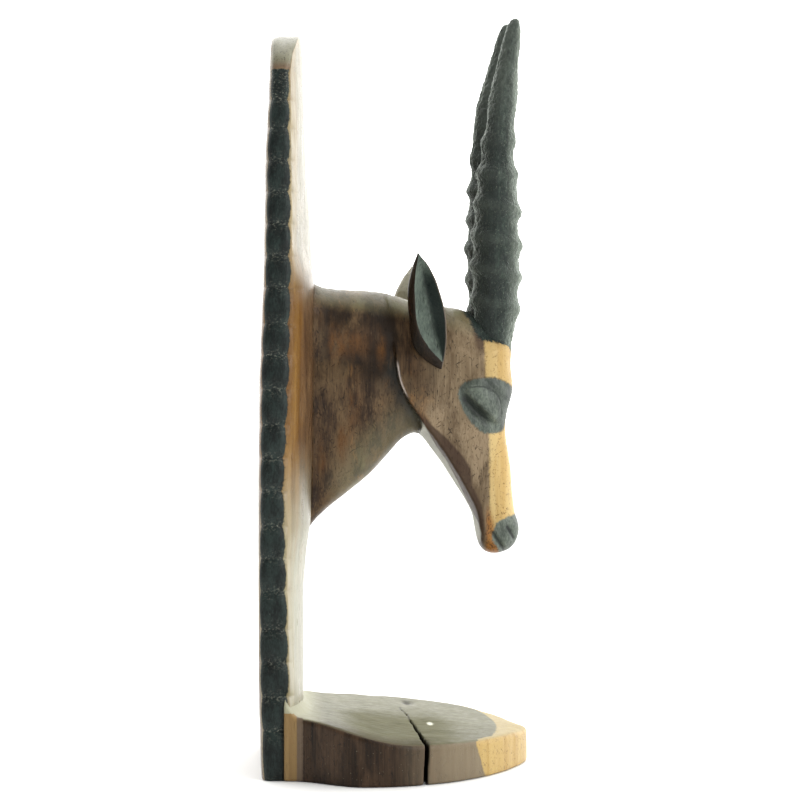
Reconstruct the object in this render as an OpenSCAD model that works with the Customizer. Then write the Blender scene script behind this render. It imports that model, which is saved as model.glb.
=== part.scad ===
// Carved antelope head with ringed horns, on a tall board with notched edges
// and a rounded foot. Millimetres, +Z up, the head faces -Y and its right side is -X.
// The origin is under the middle of the whole object, on the surface it stands on.

/* [Foot] */
// Depth of the whole object, from the board's back to the foot's tip
foot_depth = 134; // [130:1:145]
// Width of the foot at its widest
foot_w = 157; // [145:1:170]
// Width of the foot beside the board
foot_root_w = 117; // [116:1:120]
// Distance from the board's back to the foot's widest place
foot_wide_at = 50; // [44:1:60]
// Height of the foot at its tip
foot_tip_h = 14; // [12:1:18]
// Height of the foot where it meets the board
foot_root_h = 31; // [26:1:36]

/* [Board] */
// Height of the board
board_h = 360; // [350:1:366]
// Width of the board over its lower half
board_w = 115; // [110:1:116]
// Width of the board where its arched top begins
board_top_w = 84; // [76:1:96]
// Height of the arched top
arch_h = 22; // [18:1:28]
// Thickness of the board on its centre line
board_t = 23.5; // [22:0.1:25]
// Radius of the board's crowned front, seen from above
crown_r = 150; // [135:1:170]
// How far the top of the back leans forward
back_lean = 5; // [2:0.5:7]

/* [Edge notches] */
// Number of pillows carved along each long edge
pillow_count = 20; // [12:1:24]
// Depth of the notch between two pillows
notch_depth = 1.3; // [0.8:0.1:2]
// Height at which the first pillow starts
pillow_start_z = 24; // [20:1:40]

/* [Neck] */
// Height of the neck's top line at the board
neck_top_z = 235; // [232:1:236]
// Height of the neck's lower line at the board
neck_low_z = 120; // [116:1:124]
// Width of the neck at the board
neck_w = 54; // [50:1:58]
// Distance from the board's back to the middle of the seam between neck and head
seam_b = 72; // [71:0.5:74]
// How far the seam leans back towards its top, in degrees
seam_lean = 14; // [10:1:16]

/* [Horns] */
// Height of the right horn's tip above the ground
horn_top_z = 368; // [366:1:372]
// How much higher the left horn's tip is
left_horn_rise = 3; // [0:0.5:5]
// How much lower the rings of the left horn are
left_ring_drop = 5; // [0:0.5:7]
// Distance of each horn's centre from the middle, at its root
horn_root_x = 11.5; // [11:0.5:13]
// Distance of each horn's centre from the middle, at its widest
horn_wide_x = 19.5; // [16:0.5:21]
// Width of a horn as a share of its depth
horn_flat = 0.8; // [0.75:0.01:0.85]
// Number of raised rings on each horn
ring_count = 6; // [4:1:7]
// Distance from one ring to the next
ring_pitch = 16; // [15:0.1:17]
// How far a ring stands proud
ring_h = 1.9; // [1:0.1:2.5]

/* [Ears] */
// Length of an ear, from tip to tip
ear_len = 58; // [50:1:60]
// Width of an ear
ear_w = 18; // [17:0.5:21]
// Thickness of an ear before it is hollowed
ear_t = 8; // [7:0.5:9]

/* [Joinery] */
// Radius of the dowels that hold neck and foot to the board
dowel_r = 5; // [4:0.5:6]
// Radius of the dowels that hold the head to the neck
head_dowel_r = 4; // [3:0.5:5]
// Radius of the round tenon under each horn
horn_tenon_r = 5; // [4:0.5:5.5]
// Radius of the round tenon behind each ear
ear_tenon_r = 3; // [2.5:0.5:3.5]
// Radial gap for the glue round every dowel and tenon
glue_gap = 0.05; // [0.02:0.01:0.1]

/* [Hidden] */
$fn = 64;
reach = 400;                 // longer than any side, for cutting solids
back_y = foot_depth / 2;     // the board's back plane
tool_gap = 0.5;              // spare length at the blind end of each bore

// In the comments below, "distance" is a distance in front of the board's back plane.
function fy(distance) = back_y - distance;
function ease(t) = t * t * (3 - 2 * t);
function clamp01(t) = min(1, max(0, t));

// Dowels: [offset from the middle, height]
neck_dowel_at = [[0, 158], [0, 212]];
head_dowel_at = [[0, 184], [0, 210]];
foot_dowel_at = [[-28, 12], [28, 12]];
board_bore_b = 9;            // distance of the blind ends of the bores in the board
neck_dowel_len = 34;
foot_dowel_len = 26;
head_dowel_len = 26;
head_dowel_b = 58;           // distance of the head dowels' rear ends

// ---- board ----

pillow_end_z = board_h - arch_h;
pillow_pitch = (pillow_end_z - pillow_start_z) / pillow_count;
pillow_steps = 4;
taper_z = 150;               // above this height the board narrows

// Half the board's width at height z, without the notches
function board_half(z) =
    board_w / 2
    - (board_w - board_top_w) / 2 * pow(max(0, z - taper_z) / (pillow_end_z - taper_z), 2);

// How far the edge is cut back at height z: nothing in the middle of a pillow
function notch_at(z) =
    let (k = (z - pillow_start_z) / pillow_pitch)
    notch_depth * (1 - sin(180 * (k - floor(k))));

board_side = [
    for (i = [0 : pillow_count * pillow_steps])
        let (z = pillow_start_z + i * pillow_pitch / pillow_steps)
        [board_half(z) - notch_at(z), z]
];

board_arch = [
    for (a = [15 : 15 : 165])
        [board_top_w / 2 * cos(a), pillow_end_z + arch_h * sin(a)]
];

function mirrored(points) = [
    for (i = [len(points) - 1 : -1 : 0]) [-points[i][0], points[i][1]]
];

module board_outline() {
    bottom_corner = [[board_w / 2, 0]];
    polygon(concat(
        bottom_corner, board_side, board_arch, mirrored(board_side), mirrored(bottom_corner)
    ));
}

// Extrudes a side outline of [distance, height] points across the whole width
module across(outline) {
    translate([-reach / 2, 0, 0])
        rotate([90, 0, 90])
            linear_extrude(height = reach)
                polygon([for (p = outline) [fy(p[0]), p[1]]]);
}

// The board's crowned front face is the face of one large upright cylinder
module crown_cylinder() {
    translate([0, fy(board_t - crown_r), -1])
        cylinder(r = crown_r, h = board_h + 2, $fn = 180);
}

module bores(places, b, length, r) {
    for (p = places)
        translate([p[0], fy(b), p[1]])
            rotate([90, 0, 0])
                cylinder(r = r + glue_gap, h = length);
}

module back_board() {
    color("#8a5a2c")
        difference() {
            intersection() {
                translate([0, back_y, 0])
                    rotate([90, 0, 0])
                        linear_extrude(height = 40)
                            board_outline();
                crown_cylinder();
                across([[2, 0], [0, 60], [0, 120], [back_lean, board_h], [40, board_h], [40, 0]]);
            }
            bores(neck_dowel_at, board_bore_b, 30, dowel_r);
            bores(foot_dowel_at, board_bore_b, 30, dowel_r);
        }
}

// ---- foot ----

foot_rear_b = 14;            // where the foot starts beside the board
foot_steps = 26;

// Half the foot's width: it swells in front of the board and rounds off to the tip
function foot_half(b) =
    b < foot_wide_at
        ? (foot_root_w + (foot_w - foot_root_w)
            * ease((b - foot_rear_b) / (foot_wide_at - foot_rear_b))) / 2
        : foot_w / 2 * pow(1 - pow((b - foot_wide_at) / (foot_depth - foot_wide_at), 2.25), 0.75);

// Height of the foot's top: it drops quickly from the board, then runs out flat
function foot_top(b) =
    foot_tip_h + (foot_root_h - foot_tip_h) * exp(-max(0, b - board_t) / 34);

foot_side = [
    for (i = [0 : foot_steps])
        let (b = foot_rear_b + (foot_depth - foot_rear_b) * sin(90 * i / foot_steps))
        [foot_half(b), fy(b)]
];

module foot() {
    top = [for (b = [foot_rear_b : 10 : foot_depth]) [b, foot_top(b)]];
    color("#5d3d28")
        difference() {
            intersection() {
                linear_extrude(height = foot_root_h + 5)
                    polygon(concat(foot_side, mirrored(foot_side)));
                across(concat([[foot_rear_b, 0]], top, [[foot_depth, foot_tip_h], [foot_depth, 0]]));
            }
            crown_cylinder();
            bores(foot_dowel_at, board_bore_b, foot_dowel_len + tool_gap, dowel_r);
        }
}

// ---- neck and head ----

// A thin upright disc across the neck
module disc(b, z, r) {
    translate([0, fy(b), z])
        rotate([90, 0, 0])
            cylinder(r = r, h = 0.5, $fn = 48);
}

// A pair of balls, one on each side
module balls(b, z, x, r) {
    for (side = [-1, 1])
        translate([side * x, fy(b), z])
            sphere(r = r, $fn = 32);
}

// The neck's tapering body. It runs on into the head, so that both pieces have the
// same outline at the seam between them.
module neck_body() {
    root_r = neck_w / 2;
    hull() {
        disc(18, neck_top_z - root_r, root_r);
        disc(18, neck_low_z + 16, 16);
        disc(84, 208, 20);
        disc(84, 176, 12.5);
    }
}

// Everything in front of the seam, or everything behind it
module seam_side(front) {
    seam_z = 190;
    translate([0, fy(seam_b), seam_z])
        rotate([-seam_lean, 0, 0])
            translate([-reach / 2, front ? -reach : 0, -reach / 2])
                cube(reach);
}

// Where the neck runs out onto the board
module neck_flare() {
    root_r = neck_w / 2;
    hull() {
        disc(18, neck_top_z - root_r, root_r + 4);
        disc(18, neck_low_z + 12, 17);
        disc(31, neck_top_z - root_r, root_r - 1);
        disc(31, neck_low_z + 24, 16);
    }
}

module neck() {
    color("#5a3823")
        difference() {
            union() {
                neck_body();
                neck_flare();
            }
            crown_cylinder();
            seam_side(true);
            bores(neck_dowel_at, board_bore_b, neck_dowel_len + tool_gap, dowel_r);
            bores(head_dowel_at, head_dowel_b - tool_gap, 40, head_dowel_r);
        }
}

// The facet that the horns sit on, from the poll down to the forehead
seat_rear = [104, 224];
seat_front = [128, 208];
seat_angle = atan2(seat_rear[1] - seat_front[1], seat_front[0] - seat_rear[0]);

module above_seat() {
    translate([0, fy(seat_rear[0]), seat_rear[1]])
        rotate([seat_angle, 0, 0])
            translate([-reach / 2, -reach / 2, 0])
                cube(reach);
}

module horn_tenon(side, r, length) {
    translate([side * horn_root_x, fy(horn_b), horn_root_z - length])
        cylinder(r = r, h = length + 8);
}

module skull() {
    hull() {
        balls(92, 210.5, 7, 16);     // poll
        balls(84, 192, 10, 13);      // rear of the cheek
        balls(98, 191, 11, 13);      // cheek
        balls(112.5, 203, 8, 14);    // forehead
        balls(91, 173, 7, 9);        // corner of the jaw
        balls(112, 172, 6, 11);      // bridge of the nose
    }
    hull() {
        balls(91.5, 172, 6, 8.5);
        balls(111, 171, 5.5, 11.2);
        balls(119, 114.3, 2, 10.3);  // muzzle
        balls(115, 110, 2, 6);       // chin
    }
}

module head() {
    color("#6b4a33")
        difference() {
            union() {
                skull();
                balls(110.5, 178, 15, 8.5);    // eyes
                neck_body();
            }
            above_seat();
            seam_side(false);
            for (side = [-1, 1]) {
                horn_tenon(side, horn_tenon_r + glue_gap, horn_tenon_len + tool_gap);
                ear_place(side) {
                    ear_tenon(ear_tenon_r + glue_gap, ear_tenon_len + tool_gap);
                    ear_leaf(0.02);
                }
            }
            bores(head_dowel_at, head_dowel_b, head_dowel_len + tool_gap, head_dowel_r);
        }
}

// ---- horns ----

horn_b = 117.2;              // distance of the horns' axes
horn_root_z = 218;           // the horns' axes meet the seat near this height
horn_tenon_len = 22;
horn_low_z = 200;
first_ring_z = 227;
bend_z = 292;                // above this height a horn bends forward
bend_b = 9;                  // how far its tip is moved forward
horn_sides = 20;
horn_steps = 46;

// Half the depth of a horn between its rings; u runs from 0 at z = 200 to 1 at the tip
function horn_r(u) = lookup(u, [
    [0, 11.3], [0.24, 11.6], [0.42, 10.5], [0.58, 8], [0.76, 6.9],
    [0.87, 4.9], [0.97, 2.9], [0.99, 1.8], [1, 0.4]
]);

// Distance of a horn's centre from the middle
function horn_x(z) =
    horn_root_x + (horn_wide_x - horn_root_x) * ease(clamp01((z - 222) / 80))
    - 1.5 * clamp01((z - 320) / 50);

function horn_bend(z, top_z) = bend_b * pow(max(0, z - bend_z) / (top_z - bend_z), 1.5);

// The lower rings slant down to the front; higher up they level out
function ring_slant(z) = 0.26 * (1 - ease(clamp01((z - 250) / 60)));

function ring_at(z, drop) =
    let (
        k = (z + drop - first_ring_z) / ring_pitch,
        last = ring_count - 1
    )
    (k < -0.5 || k > last + 0.5)
        ? 0
        : ring_h * pow(0.5 + 0.5 * cos(360 * k), 2.2) * (k > last - 0.5 ? 0.7 : 1);

function horn_point(side, z, top_z, drop, a) =
    let (
        plain = horn_r((z - horn_low_z) / (top_z - horn_low_z)),
        slanted_z = z + ring_slant(z) * plain * sin(a),
        r = plain + ring_at(slanted_z, drop)
    )
    [
        side * horn_x(z) + r * horn_flat * cos(a),
        fy(horn_b + horn_bend(z, top_z) + r * sin(a)),
        z
    ];

module horn_blank(side, top_z, drop) {
    points = [
        for (i = [0 : horn_steps], k = [0 : horn_sides - 1])
            let (z = horn_low_z + (top_z - horn_low_z) * i / horn_steps)
            horn_point(side, z, top_z, drop, -360 * k / horn_sides)
    ];
    walls = [
        for (i = [0 : horn_steps - 1], k = [0 : horn_sides - 1])
            let (n = (k + 1) % horn_sides, low = i * horn_sides, high = low + horn_sides)
            [low + k, high + k, high + n, low + n]
    ];
    under = [for (k = [0 : horn_sides - 1]) k];
    over = [for (k = [horn_sides - 1 : -1 : 0]) horn_steps * horn_sides + k];
    polyhedron(points, concat(walls, [under], [over]));
}

module horn(side, top_z, drop) {
    color("#2b302e")
        union() {
            intersection() {
                horn_blank(side, top_z, drop);
                above_seat();
            }
            horn_tenon(side, horn_tenon_r, horn_tenon_len);
        }
}

// ---- ears ----

// The middle of an ear's blade, and its tilts
ear_mid = [31, 82, 223];     // offset from the middle, distance, height
ear_back_tilt = 11;
ear_out_tilt = 17;
ear_turn = 14;
ear_tenon_len = 12;
ear_tenon_z = -13;           // below the middle of the blade
ear_arc_r = (pow(ear_len / 2, 2) + pow(ear_w / 2, 2)) / ear_w;

// Puts an ear that is drawn upright in its own frame onto the head.
// In that frame +X is outwards, +Z is along the ear and the tenon runs along -X.
module ear_place(side) {
    mirror([side < 0 ? 1 : 0, 0, 0])
        translate([ear_mid[0], fy(ear_mid[1]), ear_mid[2]])
            rotate([0, ear_out_tilt, 0])
                rotate([-ear_back_tilt, 0, 0])
                    rotate([0, 0, -ear_turn])
                        children();
}

// A leaf: the lens that two equal circles share, given the ear's thickness
module ear_leaf(extra = 0) {
    rotate([0, 90, 0])
        linear_extrude(height = ear_t + 2 * extra, center = true)
            intersection_for (s = [-1, 1])
                translate([0, s * (ear_arc_r - ear_w / 2)])
                    circle(r = ear_arc_r + extra, $fn = 120);
}

module ear_tenon(r, length) {
    translate([2 - ear_t / 2 - length, 0, ear_tenon_z])
        rotate([0, 90, 0])
            cylinder(r = r, h = length);
}

module ear(side) {
    back_r = 46;
    hollow_r = 34;
    color("#33403d")
        ear_place(side)
            union() {
                difference() {
                    intersection() {
                        ear_leaf();
                        translate([back_r - ear_t / 2, 0, 0])
                            sphere(r = back_r, $fn = 96);
                    }
                    translate([hollow_r - 0.5, 0, 2])
                        sphere(r = hollow_r, $fn = 96);
                }
                ear_tenon(ear_tenon_r, ear_tenon_len);
            }
}

module horn_right() horn(-1, horn_top_z, 0);
module horn_left() horn(1, horn_top_z + left_horn_rise, left_ring_drop);
module ear_right() ear(-1);
module ear_left() ear(1);

// ---- dowels ----

module dowels(places, b, length, r) {
    color("#c49a62")
        for (p = places)
            translate([p[0], fy(b), p[1]])
                rotate([90, 0, 0])
                    cylinder(r = r, h = length);
}

module neck_dowels()
    dowels(neck_dowel_at, board_bore_b + tool_gap, neck_dowel_len - tool_gap, dowel_r);
module head_dowels()
    dowels(head_dowel_at, head_dowel_b, head_dowel_len, head_dowel_r);
module foot_dowels()
    dowels(foot_dowel_at, board_bore_b + tool_gap, foot_dowel_len - tool_gap, dowel_r);

back_board();
foot();
neck();
head();
horn_right();
horn_left();
ear_right();
ear_left();
neck_dowels();
head_dowels();
foot_dowels();
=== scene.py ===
"""A carved antelope head on a tall board with notched black edges and a rounded foot.

Every piece is carved here in millimetres, in a carver's frame: x is the offset from the
middle, b the distance in front of the board's back plane, and z the height above the
ground. shown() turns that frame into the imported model's frame.
"""
import math

import bpy
import numpy as np
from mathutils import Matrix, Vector


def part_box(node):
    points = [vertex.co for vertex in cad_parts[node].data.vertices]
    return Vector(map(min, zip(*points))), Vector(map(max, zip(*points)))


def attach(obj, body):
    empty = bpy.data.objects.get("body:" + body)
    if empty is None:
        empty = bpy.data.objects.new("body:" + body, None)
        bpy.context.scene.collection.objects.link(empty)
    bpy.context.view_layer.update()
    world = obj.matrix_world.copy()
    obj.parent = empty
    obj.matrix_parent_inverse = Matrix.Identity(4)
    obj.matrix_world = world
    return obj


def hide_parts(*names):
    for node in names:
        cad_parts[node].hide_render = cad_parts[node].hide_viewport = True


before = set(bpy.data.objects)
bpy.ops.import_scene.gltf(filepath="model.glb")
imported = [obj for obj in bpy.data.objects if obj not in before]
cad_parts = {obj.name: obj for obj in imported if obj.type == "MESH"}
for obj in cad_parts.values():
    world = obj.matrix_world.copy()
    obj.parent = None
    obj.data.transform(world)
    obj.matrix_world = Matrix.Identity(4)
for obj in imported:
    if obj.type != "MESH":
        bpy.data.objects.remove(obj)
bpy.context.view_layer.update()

MM = 0.001
BODY = "root"
BACK_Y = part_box("back_board")[1].y / MM          # the board's back plane
BOARD_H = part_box("back_board")[1].z / MM
FOOT_DEPTH = BACK_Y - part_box("foot")[0].y / MM
FOOT_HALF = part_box("foot")[1].x / MM
HORN_TOPS = {side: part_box(name)[1].z / MM for side, name in ((-1, "horn_right"), (1, "horn_left"))}


# ---- small numeric tools ----

def ease(t):
    t = np.clip(t, 0.0, 1.0)
    return t * t * (3.0 - 2.0 * t)


def rise(value, start, length):
    """0 up to the start, smoothly to 1 over the length after it."""
    return ease((value - start) / length)


def fall(value, end, length):
    """1 until a length before the end, smoothly to 0 at the end."""
    return ease((end - value) / length)


def hump(away, width):
    return np.exp(-(away / width) ** 2)


def oval(u, v, middle, radii):
    """Distance from the middle of an oval, 1 on the oval."""
    return np.hypot((u - middle[0]) / radii[0], (v - middle[1]) / radii[1])


def strung(counts, *parts):
    """One row from several stretches, each a number or as many values as its count."""
    return np.concatenate([part + np.zeros(n) for part, n in zip(parts, counts)])


def stacked(levels):
    return {name: np.concatenate([level[name] for level in levels]) for name in levels[0]}


def table(value, rows):
    """Reads a value off a list of (place, value) rows."""
    return np.interp(value, [r[0] for r in rows], [r[1] for r in rows])


def lattice(ix, iy, iz, seed):
    """A repeatable random number from -1 to 1 for each point of a whole-number lattice."""
    n = (ix * 374761393 + iy * 668265263 + iz * 1274126177 + seed * 974711) & 0xFFFFFFFF
    n = ((n ^ (n >> 13)) * 1103515245) & 0xFFFFFFFF
    n = ((n ^ (n >> 15)) * 2246822519) & 0xFFFFFFFF
    return ((n ^ (n >> 16)) & 0xFFFFFF) / float(0xFFFFFF) * 2.0 - 1.0


def lumps(x, y, z, size, seed=0):
    """Smooth noise from about -1 to 1 whose lumps are `size` millimetres apart."""
    cell, part = [], []
    for v in (x, y, z):
        v = np.asarray(v, float) / size
        low = np.floor(v)
        cell.append(low.astype(np.int64))
        part.append(ease(v - low))
    total = 0.0
    for dx in (0, 1):
        for dy in (0, 1):
            for dz in (0, 1):
                weight = 1.0
                for p, d in zip(part, (dx, dy, dz)):
                    weight = weight * (p if d else 1.0 - p)
                total = total + weight * lattice(cell[0] + dx, cell[1] + dy, cell[2] + dz, seed)
    return total


def curve(points, steps=8, closed=True):
    """A smooth (Catmull-Rom) curve through given points."""
    p = np.array(points, float)
    n = len(p)
    out = []
    for i in range(n if closed else n - 1):
        if closed:
            a, b, c, d = (p[(i + k) % n] for k in (-1, 0, 1, 2))
        else:
            a, b, c, d = (p[min(max(i + k, 0), n - 1)] for k in (-1, 0, 1, 2))
        for s in range(steps):
            t = s / steps
            out.append(0.5 * (2 * b + (c - a) * t + (2 * a - 5 * b + 4 * c - d) * t ** 2
                              + (3 * b - a - 3 * c + d) * t ** 3))
    if not closed:
        out.append(p[-1])
    return np.array(out)


def line_distance(points, u, v, closed=False):
    """Distance from (u, v) to the nearest place on a line through the points."""
    best = np.full(np.shape(u), 1e9)
    p = np.asarray(points, float)
    ends = np.roll(p, -1, axis=0) if closed else p[1:]
    for (au, av), (bu, bv) in zip(p, ends):
        du, dv = bu - au, bv - av
        t = np.clip(((u - au) * du + (v - av) * dv) / (du * du + dv * dv + 1e-12), 0.0, 1.0)
        best = np.minimum(best, (u - au - t * du) ** 2 + (v - av - t * dv) ** 2)
    return np.sqrt(best)


def outline_distance(points, u, v):
    """Signed distance to a closed outline, negative inside it."""
    p = np.asarray(points, float)
    inside = np.zeros(np.shape(u), bool)
    for (au, av), (bu, bv) in zip(p, np.roll(p, -1, axis=0)):
        if av == bv:
            continue
        crosses = (av > v) != (bv > v)
        inside ^= crosses & (u < (bu - au) * (v - av) / (bv - av) + au)
    return np.where(inside, -1.0, 1.0) * line_distance(p, u, v, closed=True)


def rounded_and(profile, width, soft_profile, soft_width):
    """The solid inside both distances, with its edge rounded over two lengths."""
    u = np.maximum(soft_profile + profile, 0.0) / soft_profile
    v = np.maximum(soft_width + width, 0.0) / soft_width
    small = np.minimum(soft_profile, soft_width)
    rounded = (np.sqrt(u * u + v * v) - 1.0) * small
    return np.where((u > 0) | (v > 0), rounded, np.maximum(profile, width))


def smooth_max(a, b, r):
    h = np.clip(0.5 + 0.5 * (a - b) / r, 0.0, 1.0)
    return b + (a - b) * h + r * h * (1.0 - h)


# ---- meshes ----

def surface_net(field, low, step):
    """Quads over the zero surface of a field that is negative inside the solid."""
    for axis in range(3):
        for end in (0, -1):
            np.moveaxis(field, axis, 0)[end] = step
    inside = field < 0
    count = np.zeros([n - 1 for n in field.shape], np.uint8)
    for dx in (0, 1):
        for dy in (0, 1):
            for dz in (0, 1):
                count += inside[dx:dx + count.shape[0], dy:dy + count.shape[1],
                                dz:dz + count.shape[2]]
    active = (count > 0) & (count < 8)
    cells = np.argwhere(active)
    number = np.full(active.shape, -1, np.int64)
    number[active] = np.arange(len(cells))
    total = np.zeros((len(cells), 3))
    hits = np.zeros(len(cells))
    unit = np.eye(3, dtype=int)
    for axis in range(3):
        others = [k for k in range(3) if k != axis]
        for da in (0, 1):
            for db in (0, 1):
                start = cells + da * unit[others[0]] + db * unit[others[1]]
                end = start + unit[axis]
                f0 = field[tuple(start.T)]
                f1 = field[tuple(end.T)]
                crossing = (f0 < 0) != (f1 < 0)
                t = np.where(crossing, f0 / np.where(crossing, f0 - f1, 1.0), 0.0)
                place = start + t[:, None] * unit[axis]
                total[crossing] += place[crossing]
                hits[crossing] += 1
    points = np.array(low) + total / hits[:, None] * step
    quads = []
    for axis in range(3):
        a, b = [k for k in range(3) if k != axis]
        ends = np.argwhere(np.diff(inside.astype(np.int8), axis=axis) != 0)
        ends = ends[(ends[:, a] > 0) & (ends[:, b] > 0)]
        corners = [number[tuple((ends - da * unit[a] - db * unit[b]).T)]
                   for da, db in ((1, 1), (0, 1), (0, 0), (1, 0))]
        quad = np.stack(corners, 1)
        flip = inside[tuple(ends.T)] == (axis == 1)
        quad[flip] = quad[flip][:, ::-1]
        quads.append(quad)
    quads = np.concatenate(quads)
    return points, quads[(quads >= 0).all(1)]


def relaxed(points, quads, rounds=2, strength=0.5):
    """Evens out a mesh a little, without shrinking it."""
    edges = np.concatenate([quads[:, [k, (k + 1) % 4]] for k in range(4)])
    for amount in (strength, -strength * 1.04) * rounds:
        total = np.zeros_like(points)
        hits = np.zeros(len(points))
        for i, j in ((0, 1), (1, 0)):
            np.add.at(total, edges[:, i], points[edges[:, j]])
            np.add.at(hits, edges[:, i], 1)
        points = points + amount * (total / hits[:, None] - points)
    return points


def tube_quads(rings, around):
    """Quads between the closed rings of a sweep."""
    i, k = np.meshgrid(np.arange(rings - 1), np.arange(around), indexing="ij")
    i, k = i.ravel(), k.ravel()
    n = (k + 1) % around
    return np.stack([i * around + k, i * around + n, (i + 1) * around + n, (i + 1) * around + k], 1)


def capped_tube(rings, around):
    """Faces of a sweep that is closed flat at both ends."""
    last = (rings - 1) * around
    ends = [list(range(around))[::-1], [last + k for k in range(around)]]
    return tube_quads(rings, around).tolist() + ends


def shown(points):
    """From the carver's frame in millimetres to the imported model's frame in metres."""
    x, b, z = np.asarray(points, float).T
    return np.stack([x * MM, (BACK_Y - b) * MM, z * MM], 1)


def piece(name, points, faces, material, nodes, masks=None):
    """Makes one carved piece, with its paint masks as mesh attributes."""
    mesh = bpy.data.meshes.new(name)
    mesh.from_pydata(shown(points).tolist(), [], [list(f) for f in faces])
    mesh.validate()
    mesh.update()
    mesh.polygons.foreach_set("use_smooth", [True] * len(mesh.polygons))
    for mask, values in (masks or {}).items():
        layer = mesh.attributes.new(mask, "FLOAT", "POINT")
        layer.data.foreach_set("value", np.asarray(values, np.float32))
    mesh.materials.append(material)
    thing = bpy.data.objects.new(name, mesh)
    bpy.context.scene.collection.objects.link(thing)
    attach(thing, BODY)
    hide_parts(*nodes)
    return thing


# ---- materials ----

class Surface:
    """A short way to write a node-based material.

    A value can be a number, a colour, another node's socket, or the name of one of the
    mesh's masks.
    """

    def __init__(self, name):
        self.material = bpy.data.materials.new(name)
        self.material.use_nodes = True
        self.tree = self.material.node_tree
        self.tree.nodes.clear()
        output = self.tree.nodes.new("ShaderNodeOutputMaterial")
        self.shader = self.tree.nodes.new("ShaderNodeBsdfPrincipled")
        self.tree.links.new(self.shader.outputs[0], output.inputs[0])
        self.place = self.node("TexCoord")["Object"]

    def put(self, socket, value):
        if isinstance(value, str):
            value = self.node("Attribute", attribute_name=value)["Fac"]
        if isinstance(value, bpy.types.NodeSocket):
            self.tree.links.new(value, socket)
        elif isinstance(value, tuple) and len(value) == 3 and socket.type == "RGBA":
            socket.default_value = (*value, 1.0)
        else:
            socket.default_value = value

    def node(self, kind, inputs=(), **settings):
        """Adds a node, its inputs given by name or number, and returns its outputs."""
        node = self.tree.nodes.new("ShaderNode" + kind)
        for setting, value in settings.items():
            setattr(node, setting, value)
        for key, value in dict(inputs).items():
            self.put(node.inputs[key], value)
        return node.outputs

    def math(self, kind, first, *others):
        for value in others:
            first = self.node("Math", {0: first, 1: value}, operation=kind)[0]
        return first

    def times(self, *values):
        return self.math("MULTIPLY", *values)

    def plus(self, *values):
        return self.math("ADD", *values)

    def coats(self, colour, *layers):
        """Lays colours over a first one, each given with the amounts whose product is its cover."""
        for layer, *cover in layers:
            colour = self.node("Mix", {0: self.times(*cover), 6: colour, 7: layer}, data_type="RGBA")[2]
        return colour

    def stretched(self, place, x, y, z):
        return self.node("VectorMath", {0: place, 1: (x, y, z)}, operation="MULTIPLY")[0]

    def noise(self, x, y, z, detail=3.0, roughness=0.55, distortion=0.0, lean=None):
        """Noise with x, y and z lumps to the metre, leaning by degrees in the side view."""
        place = self.place
        if lean is not None:
            place = self.node("VectorRotate", {"Vector": place, "Angle": math.radians(lean)},
                              rotation_type="X_AXIS")[0]
        return self.node("TexNoise", {"Vector": self.stretched(place, x, y, z), "Scale": 1.0,
                                      "Detail": detail, "Roughness": roughness,
                                      "Distortion": distortion})[0]

    def cells(self, x, y, z):
        """Distance to the nearest of many scattered points."""
        place = self.stretched(self.place, x, y, z)
        return self.node("TexVoronoi", {"Vector": place, "Scale": 1.0})["Distance"]

    def ramp(self, value, low, high, to_low=0.0, to_high=1.0):
        """Smoothly maps low..high to to_low..to_high."""
        numbers = enumerate((value, low, high, to_low, to_high))
        return self.node("MapRange", numbers, interpolation_type="SMOOTHSTEP")[0]

    def finish(self, colour, roughness, height=None, depth=0.1, specular=0.5, **more):
        """Wires the shader. Bumps are `depth` millimetres high between heights 0 and 1."""
        inputs = {"Base Color": colour, "Roughness": roughness, "Specular IOR Level": specular}
        if height is not None:
            inputs["Normal"] = self.node("Bump", {"Strength": 1.0, "Distance": depth * MM,
                                                  "Height": height})[0]
        for name, value in (inputs | more).items():
            self.put(self.shader.inputs[name], value)
        return self.material


# Stain colours, as linear red, green and blue: streaks dark, mid and light, and rubbed wood
NECK_STAIN = dict(dark=(0.024, 0.013, 0.007), mid=(0.082, 0.047, 0.023),
                  light=(0.125, 0.080, 0.040), worn=(0.20, 0.100, 0.036))
HEAD_STAIN = dict(dark=(0.098, 0.066, 0.037), mid=(0.178, 0.130, 0.078),
                  light=(0.25, 0.185, 0.115), worn=(0.29, 0.19, 0.09))
FOOT_STAIN = dict(dark=(0.012, 0.007, 0.004), mid=(0.034, 0.019, 0.010),
                  light=(0.062, 0.036, 0.020), worn=(0.115, 0.038, 0.015))
BOARD_STAIN = dict(dark=(0.060, 0.031, 0.014), mid=(0.118, 0.064, 0.029),
                   light=(0.155, 0.090, 0.042), worn=(0.23, 0.12, 0.04))
EAR_STAIN = dict(dark=(0.007, 0.005, 0.003), mid=(0.015, 0.009, 0.005),
                 light=(0.030, 0.020, 0.011), worn=(0.05, 0.02, 0.01))
# The ears' back: pale taupe, partly a painted sheen of the overhead light
EAR_BACK_STAIN_AND_SHEEN = dict(dark=(0.16, 0.145, 0.095), mid=(0.25, 0.235, 0.160),
                      light=(0.32, 0.30, 0.21), worn=(0.36, 0.27, 0.15))
STAIN_PORE, STAIN_CUT = (0.012, 0.008, 0.005), (0.014, 0.009, 0.006)
PALE_SPECK = (0.42, 0.37, 0.25)

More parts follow.
